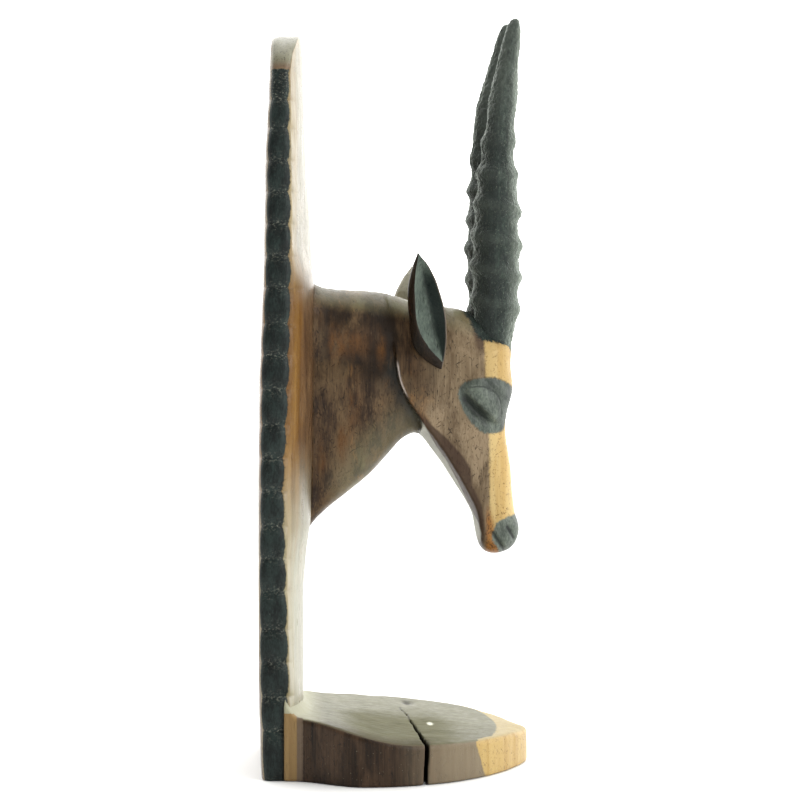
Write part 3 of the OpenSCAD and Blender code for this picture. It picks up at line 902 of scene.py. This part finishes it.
EYE = (111.0, 177.5)
EYE_ALONG = np.array([0.744, -0.668])       # from its rear corner to its front corner
EYE_UP = np.array([0.668, 0.744])
EYE_PATCH = curve([(97.7, 183.4), (98.8, 186.7), (102.6, 189.3), (107.9, 190.4), (113.9, 191),
                   (118.3, 190), (122.6, 188.2), (125.6, 185.6), (125.6, 182), (124.4, 178),
                   (123.0, 173.4), (121.8, 168.1), (120.2, 164.9), (115.6, 163.6), (110.6, 164.0),
                   (106.6, 166.7), (103.4, 170.1), (100.7, 174), (98.7, 179.3)], 4)
NOSE_PATCH = curve([(134, 124), (128.5, 123.6), (123.1, 122.1), (117.8, 119.4), (116.1, 115.5),
                    (115.2, 112.8), (116.2, 109.2), (118.6, 106.2), (121.2, 102), (134, 100)], 5)
HORN_PATCH = curve([(101.5, 224), (103.7, 219.3), (105.7, 214), (108, 210.6), (110.8, 209), (116, 208.2),
                    (121, 207.7), (128, 207.5), (138, 207), (140, 240), (100, 245)], 5)


# Where the neck is worn to orange wood, each as its middle and radii
ORANGE_PATCHES = [((45, 208), (9, 7)), ((37, 207), (4, 10)), ((46, 178), (3.5, 13)),
                  ((60, 205), (2.6, 9)), ((41, 160), (3, 11)), ((31, 150), (2, 12))]


def in_front_of_jaw(b, z):
    """Positive on the head's side of the jaw line, in millimetres."""
    line_b = np.interp(z, JAW_LINE[::-1, 1], JAW_LINE[::-1, 0])
    return (b - line_b) * 0.9


def past(line, b, z):
    """Distance in front of a line that falls forward."""
    return 0.862 * (b - table(z, [(line_z, line_b) for line_b, line_z in line[::-1]]))


def neck_half(b, z):
    wide = table(b, [(14, 31), (20, 28.5), (26, 26.5), (34, 25), (46, 23.8), (58, 22.4), (70, 21),
                     (90, 20.5)])
    low = table(b, [(18, 105), (28, 121), (45, 135), (64, 153), (80, 163)])
    share = rise(z, low, 0.62 * (235 - low))
    return wide * (0.60 + 0.40 * share)


def head_half(z):
    return table(z, [(102, 8.5), (106, 10.2), (111, 12.0), (117, 12.8), (124, 12.6), (136, 13.4),
                     (150, 15.4), (160, 17.2), (170, 19.4), (180, 21.6), (190, 22.8), (202, 22.8),
                     (212, 21.6), (220, 20.8), (230, 20.5)])


def eye_frame(b, z):
    """Places as p along the eye and q across it."""
    d = np.stack([b - EYE[0], z - EYE[1]], -1)
    return d @ EYE_ALONG, d @ EYE_UP


def eye_relief(b, z):
    """How far the side stands out round the eye."""
    p, q = eye_frame(b, z)
    reach = np.clip(1 - (p / 14.5) ** 2, 0, 1)
    ridge = -1.2 + 0.010 * p * p                 # the ball's crest, in q
    above = np.clip(1 - ((q - ridge) / 9.5) ** 2, 0, 1)
    below = ease(1 - (ridge - q) / 5.0)
    ball = np.where(q > ridge, above ** 0.8, below) * reach ** 0.7
    groove = hump(q + 5.2 - 0.010 * p * p, 2.6) * reach
    lower_lid = 0.4 * hump(q + 9.6 - 0.035 * p * p, 2.2) * ease(1 - np.abs(p - 1) / 15)
    brow = hump(q - 10.4 + 0.012 * p * p, 2.6) * ease(1 - np.abs(p - 1) / 17)
    crease = hump(q - 8.0 + 0.060 * (p + 1) ** 2, 0.5) * fall(np.abs(p + 1), 13, 4)
    return 4.2 * ball - 1.9 * groove + 0.7 * lower_lid + 1.6 * brow - 0.6 * crease


def grooves(b, z):
    """Nostril and mouth, cut into the side of the muzzle."""
    def slot(points, wide, deep):
        return deep * hump(line_distance(points, b, z), wide)
    nostril = slot([(122.8, 117.2), (125.2, 113.4), (126.2, 111.6)], 1.0, 1.7)
    mouth = slot([(115.6, 114.6), (118.2, 110.6), (121.0, 106.6), (123, 102)], 0.95, 1.5)
    lip = slot([(109.5, 113), (112.5, 109.5), (116, 107.5)], 0.7, 0.4)
    return nostril + mouth + lip


def side_maps(b, z):
    """Everything that depends only on the side view: outline, half-width and edge softness."""
    profile = outline_distance(SIDE, b, z)
    forward = in_front_of_jaw(b, z)
    proud = fall(z, 216, 18)
    on_head = ease(forward / 1.1 + 0.5)
    head, neck = head_half(z), neck_half(b, z)
    blend = rise(forward, -9, 22)
    joined = neck + (head - neck) * blend
    cheek = head + 0.6
    lowered = np.minimum(joined, head - 1.6) - 0.7 * hump(forward + 1.2, 1.6)
    half = joined * (1 - proud) + proud * (lowered + (cheek - lowered) * on_head)
    half = half + on_head * (eye_relief(b, z) - grooves(b, z))
    # edges: softly rounded in front and on top, crisp along the jaw
    axis = np.stack([b - 84, z - 192], -1) @ np.array([0.917, 0.40])
    front_share = rise(axis, -1.0, 9)
    scale = table(z, [(103, 7.5), (112, 9.5), (140, 10.5), (165, 12), (200, 14), (230, 14)])
    jaw_soft = table(z, [(103, 6.5), (110, 4.5), (122, 1.6), (150, 1.2), (172, 1.4), (190, 8), (200, 13)])
    head_soft = jaw_soft + (scale - jaw_soft) * front_share
    neck_soft = table(z, [(110, 9), (150, 13), (190, 15), (240, 16)])
    soft = neck_soft + (head_soft - neck_soft) * on_head
    return profile, half, soft, forward


def keel(b, z):
    """How far the jaw's flat underside drops from its sharp edges to its middle."""
    depth = table(z, [(106, 0.6), (114, 1.6), (124, 2.2), (140, 2.8), (157, 3.6), (170, 4.6)])
    under = rise(-past(BEVEL_LINE, b, z), -5.0, 4.0) * fall(z, 180, 8)
    return depth * under * ease(in_front_of_jaw(b, z) + 0.5)


# The room each is carved in, and the distance between the points of its lattice
BLOCKS = {"neck": ((-44.0, 16.0, 96.0), (44.0, 88.0, 254.0), 0.9),
          "head": ((-30.0, 58.0, 98.0), (30.0, 134.0, 232.0), 0.55)}


def make_block(node, material):
    """Cuts neck or head out of the shared shape."""
    low, high, step = BLOCKS[node]
    axes = [np.arange(start, end, step) for start, end in zip(low, high)]
    b, z = np.meshgrid(axes[1], axes[2], indexing="ij")
    profile, half, soft, forward = side_maps(b, z)
    x = np.abs(axes[0])[:, None, None]
    X, B, Z = np.meshgrid(*axes, indexing="ij")
    hand = 0.16 * lumps(X, B, Z * 0.5, 9.0, 31) + 0.05 * lumps(X, B, Z * 0.4, 2.6, 32)
    soft_width = np.minimum(soft, np.maximum(half - 1.0, 2.0))
    share = np.clip(x / np.maximum(half[None], 4), 0, 1.3)
    profile = profile[None] + keel(b, z)[None] * share ** 1.4
    solid = rounded_and(profile, x - half[None], soft[None], soft_width[None]) + hand
    if node == "head":
        solid = np.maximum(solid, -forward[None])
    else:
        above_jaw = rise(z, 206, 5)
        overlap = 0.8 + 4.0 * rise(z, 201, 4)
        proud = 0.12 * rise(forward, -5, 5) * above_jaw
        dip = (0.03 + 0.03 * above_jaw) * np.maximum(forward, 0)
        solid = np.maximum(solid + (dip - proud)[None], (forward - overlap)[None])
        solid = np.maximum(solid, board_front(X, Z) - 0.8 - B)
    points, quads = surface_net(solid, low, step)
    points = relaxed(points, quads, 2, 0.45)
    return piece("carved_" + node, points, quads, material, [node],
                 body_masks(points))


def body_masks(points):
    """Where stain, bare wood, paint, painted shade and painted sheen lie on neck and head."""
    x, b, z = points.T
    side = np.abs(x)
    forward = in_front_of_jaw(b, z)
    start = 0.5 + 6.0 * rise(z, 176, 14)
    head_tone = rise(forward, start, 14 - 9 * fall(z, 182, 10)) * fall(z, 225, 12)
    eye = -outline_distance(EYE_PATCH, b, z)
    nose = -outline_distance(NOSE_PATCH, b, z)
    horn = -outline_distance(HORN_PATCH, b, z)
    paint = np.maximum(np.minimum(eye, side - 7.0), nose)
    edge_b = table(z, [(100, 112), (115, 114.2), (124, 114.2), (140, 114.0), (160, 113.5),
                       (176, 112.6), (190, 111.0), (212, 110.5)])
    blaze = np.minimum(b - edge_b, np.minimum(z - 110, 214 - z))
    amber_b = table(z, [(105, 122), (132, 114.5)])
    amber = fall(z, 132, 12) * rise(b, 111.5, 2.0) * fall(b, amber_b, 4)
    orange = sum(0.75 * fall(oval(b, z, *patch), 1.5, 1.3) for patch in ORANGE_PATCHES)
    beyond = past(BEVEL_LINE, b, z)
    # painted shade: the jaw's downward-facing facet darker; the oval beside the horn is a real dark drip
    facet = rise(-past(FACET_LINE, b, z), -0.6, 1.6) * fall(z, 178, 10)
    facet = facet * rise(forward, -0.5, 1.0)
    shade = np.maximum(facet, 0.9 * fall(oval(b, z, (109, 214), (3.6, 11)), 1.35, 0.7))
    throat = rise(-beyond, 0.1, 0.5) * rise(forward, -0.4, 0.8)
    throat = throat * fall(z, 176, 3) * rise(z, 107, 5)
    p, q = eye_frame(b, z)
    # painted shade: under the eyeball, in the upper lid's crease and just under it; the patch beyond the
    # lids painted darker
    dark = 0.85 * np.exp(-((q + 4.2) / 2.3) ** 4) * rise(p, -13.5, 4) * fall(p, 8, 6)
    lid = 8.0 - 0.060 * (p + 1) ** 2                     # the upper lid's line, in q
    crease = 0.75 * hump(q - lid, 0.55) * fall(np.abs(p + 1), 13, 4)
    under_lid = 0.5 * hump(q - lid + 1.2, 2.0) * rise(p, -1, 4) * fall(p, 12, 3)
    beyond_lid = 0.38 * rise(q, lid, 1.5) + 0.15 * fall(q, -6.5, 1.5)
    dark = np.maximum(np.maximum(dark, crease), np.maximum(under_lid, beyond_lid * (eye > -0.5)))
    dark = dark * rise(side, 6, 3)
    # painted shade in the grooves of nostril and mouth
    dark = np.maximum(dark, 0.9 * np.clip(grooves(b, z) / 1.5, 0, 1) ** 2) * (forward > 0)
    # painted shadow under the cheek's proud edge, behind the jaw line
    under = ease((8.5 + forward) / 8.0) * (forward < 0.2) * fall(z, 206, 12) * rise(z, 158, 14)
    lit_edge = hump(forward - 0.45, 0.35) * (forward > 0)
    lit_edge = lit_edge * fall(z, 200, 4) * rise(z, 180, 6)
    top_line = table(b, [(20, 243), (28, 236.8), (45, 234.5), (66, 232), (84, 227.6), (105, 222)])
    belly = table(b, [(18, 103), (28, 120.5), (45, 135), (64, 153), (76, 163)])
    above_jaw = rise(z, 194, 12)
    on_neck = (forward < 1) * (1 - above_jaw) + fall(forward, 9, 12) * above_jaw
    # painted shade: the neck darker high up and towards the head, with a darker patch under the ear
    painted_neck_shade = 0.95 * rise(b, 27, 8) * rise(z, 184, 18) + 0.5 * rise(forward, -22, 14)
    painted_neck_shade = np.maximum(painted_neck_shade * on_neck, 0.42 * fall(oval(b, z, (79, 195), (9, 13)), 1.5, 0.9))
    # painted sheen: grey-green along the neck's top and over its lower front
    painted_sheen = rise(z - top_line, -13, 8) * rise(b, 24, 8)
    painted_sheen = np.maximum(painted_sheen, 0.85 * fall(z, belly + 30, 26) * rise(b, 30, 14) * (forward < 0))
    # the bare blaze's painted shade above the eyes is in this dictionary too
    return {"head_tone": head_tone, "paint": paint, "blaze": blaze, "amber": amber,
            "horn_paint": horn, "forehead": rise(z, 182, 10), "painted_sheen": painted_sheen,
            "painted_neck_shade": np.clip(painted_neck_shade, 0, 1) * (1 - painted_sheen), "shade": shade, "throat": throat,
            "orange": np.clip(orange, 0, 1) * (forward < 0), "edge": lit_edge,
            "dark": np.maximum(dark, 0.8 * under)}


# ---- horns ----

HORN_B = 117.2
HORN_LOW_Z = 202.0
FIRST_RING_Z = 227.0
RING_PITCH = 16.0
RINGS = 6
HORN_FLAT = 0.8
# Half-depth at heights for a horn 368 mm high
HORN_DEPTH = [(200, 8.3), (209, 9.2), (217, 10.0), (225, 10.6), (234, 11.1), (252, 11.5), (267, 10.6),
              (281, 9.9), (298, 7.8), (314, 7.1), (328, 7.0), (337, 6.1), (345, 5.3), (355, 4.6),
              (361, 4.0), (364.5, 3.3), (367, 2.2), (368, 0.8)]


def horn_x(z):
    return 11.5 + 8.0 * rise(z, 222, 80) - 1.5 * np.clip((z - 320) / 50, 0, 1)


def horn_ring(z, drop):
    k = (z + drop - FIRST_RING_Z) / RING_PITCH
    ring = (0.5 + 0.5 * np.cos(2 * np.pi * k)) ** 1.8
    fade = np.where(k > RINGS - 1.5, 0.65, 1.0)
    return np.where((k < -0.5) | (k > RINGS - 0.5), 0.0, ring * fade)


def make_horn(side, drop, bow, material):
    """Sweeps one horn. Its rings sit `drop` lower and its middle bows back by `bow`."""
    top_z = HORN_TOPS[side]
    rings, around = 440, 120
    z = np.linspace(HORN_LOW_Z, top_z, rings)
    a = np.linspace(0, 2 * np.pi, around, endpoint=False)
    Z, A = np.meshgrid(z, a, indexing="ij")
    as_right = HORN_LOW_Z + (Z - HORN_LOW_Z) * (HORN_TOPS[-1] - HORN_LOW_Z) / (top_z - HORN_LOW_Z)
    smooth = np.array([np.mean(table(v + np.linspace(-4, 4, 9), HORN_DEPTH)) for v in as_right[:, 0]])
    blunt = fall(z, top_z, 9.0)
    plain = (smooth * blunt + table(as_right[:, 0], HORN_DEPTH) * (1 - blunt))[:, None] + 0 * A
    slant = 0.26 * (1 - rise(Z, 250, 60))
    ring_z = Z + slant * plain * np.sin(A) + 0.9 * lumps(np.cos(A) * 8, np.sin(A) * 8, Z, 7.0, 41 + side)
    r = plain + 2.0 * horn_ring(ring_z, drop)
    px, pb = np.cos(A) * plain, np.sin(A) * plain
    rough = np.clip(plain / 6, 0.1, 1)
    grains = 0.34 * lumps(px, pb, Z * 0.6, 3.6, 43 + side) + 0.26 * lumps(px, pb, Z, 1.5, 45 + side)
    r = r + rough * (grains + 0.20 * lumps(px, pb, Z, 0.8, 47 + side))
    bend = 9.0 * (np.maximum(0, Z - 292) / (top_z - 292)) ** 1.5
    back = 1.2 * (1 - rise(Z, 205, 25)) + bow * hump(Z - 322, 24)
    x = side * (horn_x(Z) + r * HORN_FLAT * np.cos(A))
    b = HORN_B + bend - back + r * np.sin(A)
    points = np.stack([x, b, Z], -1).reshape(-1, 3)
    faces = capped_tube(rings, around)
    if side < 0:
        faces = [f[::-1] for f in faces]
    # painted highlight: the front paler; the ring crests and the upper horn pale with scuffs
    front = rise(np.sin(A), 0.30, 0.65)
    crests = horn_ring(ring_z, drop) ** 2
    highlight_and_scuffs = np.clip(0.85 * front + 0.12 * crests + 0.30 * rise(Z, 295, 50), 0, 0.9)
    shaded = 0.6 * fall(np.sin(A), 0.1, 0.6)
    name = "horn_right" if side < 0 else "horn_left"
    return piece("carved_" + name, points, faces, material, [name],
                 {"highlight_and_scuffs": highlight_and_scuffs.ravel(), "shaded": shaded.ravel()})


# ---- ears ----

# Where the right and left ears sit: middle as (out, distance, height), length, lean in degrees
EARS = {-1: ((31.0, 82.0, 223.3), 59.4, 11.0), 1: ((31.0, 76.7, 223.0), 55.5, -5.0)}
EAR_OUT, EAR_TURN = math.radians(17), math.radians(14)
# At shares of the length from the tip: the ear's own rear edge and the dish's two edges
EAR_REAR_SILHOUETTE = [(0, 0), (0.03, -0.9), (0.12, -3.8), (0.25, -6.7), (0.34, -8.0), (0.45, -8.9),
                       (0.57, -9.4), (0.66, -9.9), (0.74, -10.2), (0.81, -9.2), (0.88, -6.9),
                       (0.95, -3.2), (1, 0.2)]
EAR_DISH_REAR = [(0, 0), (0.04, -0.7), (0.12, -2.9), (0.25, -5.1), (0.43, -6.6), (0.56, -7.3),
                 (0.68, -6.2), (0.80, -3.2), (0.90, 0.4), (0.94, 2.4), (1, 1.2)]
EAR_DISH_FRONT = [(0, 0), (0.04, 1.0), (0.12, 3.3), (0.25, 5.7), (0.34, 6.4), (0.45, 7.1), (0.57, 7.4),
                  (0.66, 6.8), (0.74, 6.0), (0.83, 4.8), (0.90, 3.5), (0.94, 2.6), (1, 1.2)]
EAR_DISH_END = 0.94


def turned(u, v, angle):
    """Turns u towards v."""
    return u * math.cos(angle) - v * math.sin(angle), u * math.sin(angle) + v * math.cos(angle)


def ear_turned(local, side):
    """Places points given as (out, forward, up) in the ear's own frame."""
    out, ahead, up = local.T
    middle, _, lean = EARS[side]
    out, ahead = turned(out, ahead, EAR_TURN)
    ahead, up = turned(ahead, up, math.radians(lean))
    up, out = turned(up, out, EAR_OUT)
    return np.stack([side * (middle[0] + out), middle[1] + ahead, middle[2] + up], 1)


def smooth_table(v, rows):
    """Like table(), with its corners rounded off."""
    return float(np.mean(table(np.clip(v + np.linspace(-0.035, 0.035, 7), 0, 1), rows)))


EAR_COUNTS = LIP_N, DISH_N, RIM_N, EAR_BACK_N = 4, 44, 12, 30      # points on each stretch


def make_ear(side, material):
    """Sweeps one ear from tip to foot: dish, wedge-shaped rear rim and round back."""
    length = EARS[side][1]
    levels = 0.5 - 0.5 * np.cos(np.linspace(0, math.pi, 130))
    rings, masks = [], []
    for v in levels[1:-1]:
        near_end = ease(min(v, 1 - v) / 0.05)
        pick = [table(v, r) * (1 - near_end) + smooth_table(v, r) * near_end
                for r in (EAR_REAR_SILHOUETTE, EAR_DISH_REAR, EAR_DISH_FRONT)]
        rear, dish_rear, dish_front = (float(p) for p in pick)
        lip = 0.55 * ease(v / 0.1) * fall(v, 1, 0.05)
        front = dish_front + lip
        if v > EAR_DISH_END:
            dish_rear = dish_front - 0.05
        wide = max(dish_front - dish_rear, 0.05)
        share = min(1.0, (front - rear) / 14.0)
        # across the face: front lip, dish, then the rear rim that turns away
        lip_c = np.linspace(front, dish_front, LIP_N, endpoint=False)
        lip_t = 2.2 + 0.8 * np.linspace(0, 1, LIP_N, endpoint=False) ** 0.5
        k = np.linspace(0, 1, DISH_N)
        fold = 0.40
        hollow = np.where(k < fold, k / fold, (1 - k) / (1 - fold))
        hollow = 1 - (1 - hollow) ** 1.35
        inner_c = dish_front - wide * k
        depth = 6.0 * min(1.0, wide / 12.0) * share ** 0.5
        inner_t = 3.0 - depth * hollow
        m = np.linspace(0, 1, RIM_N + 1)[1:]
        rim_c = inner_c[-1] + (rear - inner_c[-1]) * m
        rim_t = 3.0 - (1.2 + 2.6 * share) * m ** 1.6
        # the back, round from the rear edge to the front edge
        s = np.linspace(0, math.pi, EAR_BACK_N + 2)[1:-1]
        round_share = 0.5 - 0.5 * np.cos(s)
        back_c = rear + (front - rear) * round_share
        base_t = rim_t[-1] + (2.2 - rim_t[-1]) * round_share
        back_t = base_t - (1.0 + 5.4 * share + 1.5 * v * share) * np.sin(s) ** 0.8
        ahead = strung(EAR_COUNTS, lip_c, inner_c, rim_c, back_c)
        out = strung(EAR_COUNTS, lip_t, inner_t, rim_t, back_t) - 0.8 * (1 - share)
        rings.append(np.stack([out, ahead, np.full_like(out, length * (0.5 - v))], 1))
        edge = np.minimum(np.minimum(k, 1 - k) * wide, (EAR_DISH_END - v) * length * 0.8)
        edge = np.minimum(edge, v * length * 0.15) + 0.05
        # the back: its pale taupe partly a painted sheen
        inward = rise(np.sin(s), 0.15, 0.4)
        front_half = 0.9 * ease((0.52 - 0.22 * v - k) / 0.24 + 0.35) * float(rise(v, 0.04, 0.25))
        near_lip = fall(k * wide, 0.35, 0.3) * float(rise(v, 0.1, 0.2))
        masks.append({"paint": strung(EAR_COUNTS, lip_c - front, edge, -0.3 - 3 * m, -4),
                      "back": strung(EAR_COUNTS, 0, 0, 0, inward),
                      "shaded": strung(EAR_COUNTS, 0, front_half, 0, 0),
                      "lip": strung(EAR_COUNTS, 1, near_lip, 0, 0)})
    masks.append({"paint": [-1.0] * 2, "back": [0.0] * 2, "shaded": [0.0] * 2, "lip": [0.0] * 2})
    tip = np.array([[2.3, 0, length / 2]])
    foot = np.array([[1.6, 0.4, -length / 2]])
    around = sum(EAR_COUNTS)
    local = np.concatenate(rings + [tip, foot])
    own = (local + side * 50).T
    wobble = 0.16 * lumps(*own, 5.0, 51) + 0.06 * lumps(*own, 1.6, 52)
    local = local + wobble[:, None] * [1, 0.4, 0]
    faces = tube_quads(len(rings), around).tolist()
    tip_i, foot_i = len(local) - 2, len(local) - 1
    last = (len(rings) - 1) * around
    for k in range(around):
        n = (k + 1) % around
        faces.append([tip_i, n, k])
        faces.append([foot_i, last + k, last + n])
    if side > 0:
        faces = [f[::-1] for f in faces]
    name = "ear_right" if side < 0 else "ear_left"
    return piece("carved_" + name, ear_turned(local, side), faces, material, [name],
                 stacked(masks))


# ---- dowels: inside the joints, so plain ----

def dowel_material():
    s = Surface("dowel_wood")
    return s.finish(natural_wood(s), 0.6, s.noise(900, 60, 900), 0.1)


make_board()
make_foot()
carved = carved_body_material("stained_wood")
make_block("neck", carved)
make_block("head", carved)
horn_black = horn_material()
make_horn(-1, 0.0, 0.0, horn_black)
make_horn(1, 5.0, 2.6, horn_black)
ear_black = ear_material()
make_ear(-1, ear_black)
make_ear(1, ear_black)
plain_dowel = dowel_material()
for dowel in ("neck_dowels", "head_dowels", "foot_dowels"):
    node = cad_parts[dowel]
    node.data.materials.clear()
    node.data.materials.append(plain_dowel)


# ---- floor, light and camera ----

BACKDROP_DIRECTION = (0.97, -0.22, 0.10)
BACKDROP_LIGHT = 3.0
NEAR_LIGHT = 0.32
LIGHT_EDGES = (-0.60, 0.92)         # where the light starts and stops growing, as a cosine
FLOOR_WHITE = (0.91, 0.91, 0.90), (0.94, 0.94, 0.93)
LENS_MM, SENSOR_MM = 103.1, 36.0
CAMERA_PLACE, CAMERA_TARGET = (-1.141, 0.0695, 0.180), (0.0, -0.0035, 0.180)


def make_floor():
    bpy.ops.mesh.primitive_plane_add(size=16.0, location=(0, 0, -0.0002))
    floor = bpy.context.object
    floor.name = "floor"
    s = Surface("floor_white")
    colour = s.coats(FLOOR_WHITE[0], (FLOOR_WHITE[1], s.noise(30, 30, 30)))
    floor.data.materials.append(s.finish(colour, 0.6))


def make_world():
    """White all round: a bright backdrop behind the carving, softer light on the near side."""
    world = bpy.data.worlds.new("studio")
    bpy.context.scene.world = world
    world.use_nodes = True
    nodes, links = world.node_tree.nodes, world.node_tree.links
    background = nodes["Background"]
    direction = nodes.new("ShaderNodeTexCoord").outputs["Generated"]
    toward = nodes.new("ShaderNodeVectorMath")
    toward.operation = "DOT_PRODUCT"
    links.new(direction, toward.inputs[0])
    toward.inputs[1].default_value = BACKDROP_DIRECTION
    strength = nodes.new("ShaderNodeMapRange")
    strength.interpolation_type = "SMOOTHSTEP"
    links.new(toward.outputs["Value"], strength.inputs[0])
    for socket, number in zip(strength.inputs[1:5], (*LIGHT_EDGES, NEAR_LIGHT, BACKDROP_LIGHT)):
        socket.default_value = number
    links.new(strength.outputs[0], background.inputs["Strength"])
    background.inputs["Color"].default_value = (1.0, 1.0, 0.985, 1.0)


def aimed(name, data, place, target):
    """Adds a lamp or camera at a place, turned to a target."""
    thing = bpy.data.objects.new(name, data)
    bpy.context.scene.collection.objects.link(thing)
    thing.location = place
    thing.rotation_mode = "QUATERNION"
    thing.rotation_quaternion = (Vector(target) - Vector(place)).to_track_quat("-Z", "Y")
    return thing


def make_light(name, place, target, size, power):
    data = bpy.data.lights.new(name, "AREA")
    data.shape = "RECTANGLE"
    data.size, data.size_y = size
    data.energy = power
    aimed(name, data, place, target).visible_camera = False


def make_camera():
    data = bpy.data.cameras.new("camera")
    data.lens, data.sensor_width = LENS_MM, SENSOR_MM
    data.clip_start, data.clip_end = 0.05, 50.0
    bpy.context.scene.camera = aimed("camera", data, CAMERA_PLACE, CAMERA_TARGET)


make_floor()
make_world()
make_light("key", (-1.15, -1.25, 0.85), (0, 0, 0.18), (0.8, 0.8), 17.0)
make_light("overhead", (0.15, -0.1, 1.75), (0, 0, 0.1), (1.5, 1.5), 10.5)
make_camera()
bpy.context.scene.view_settings.view_transform = "Standard"
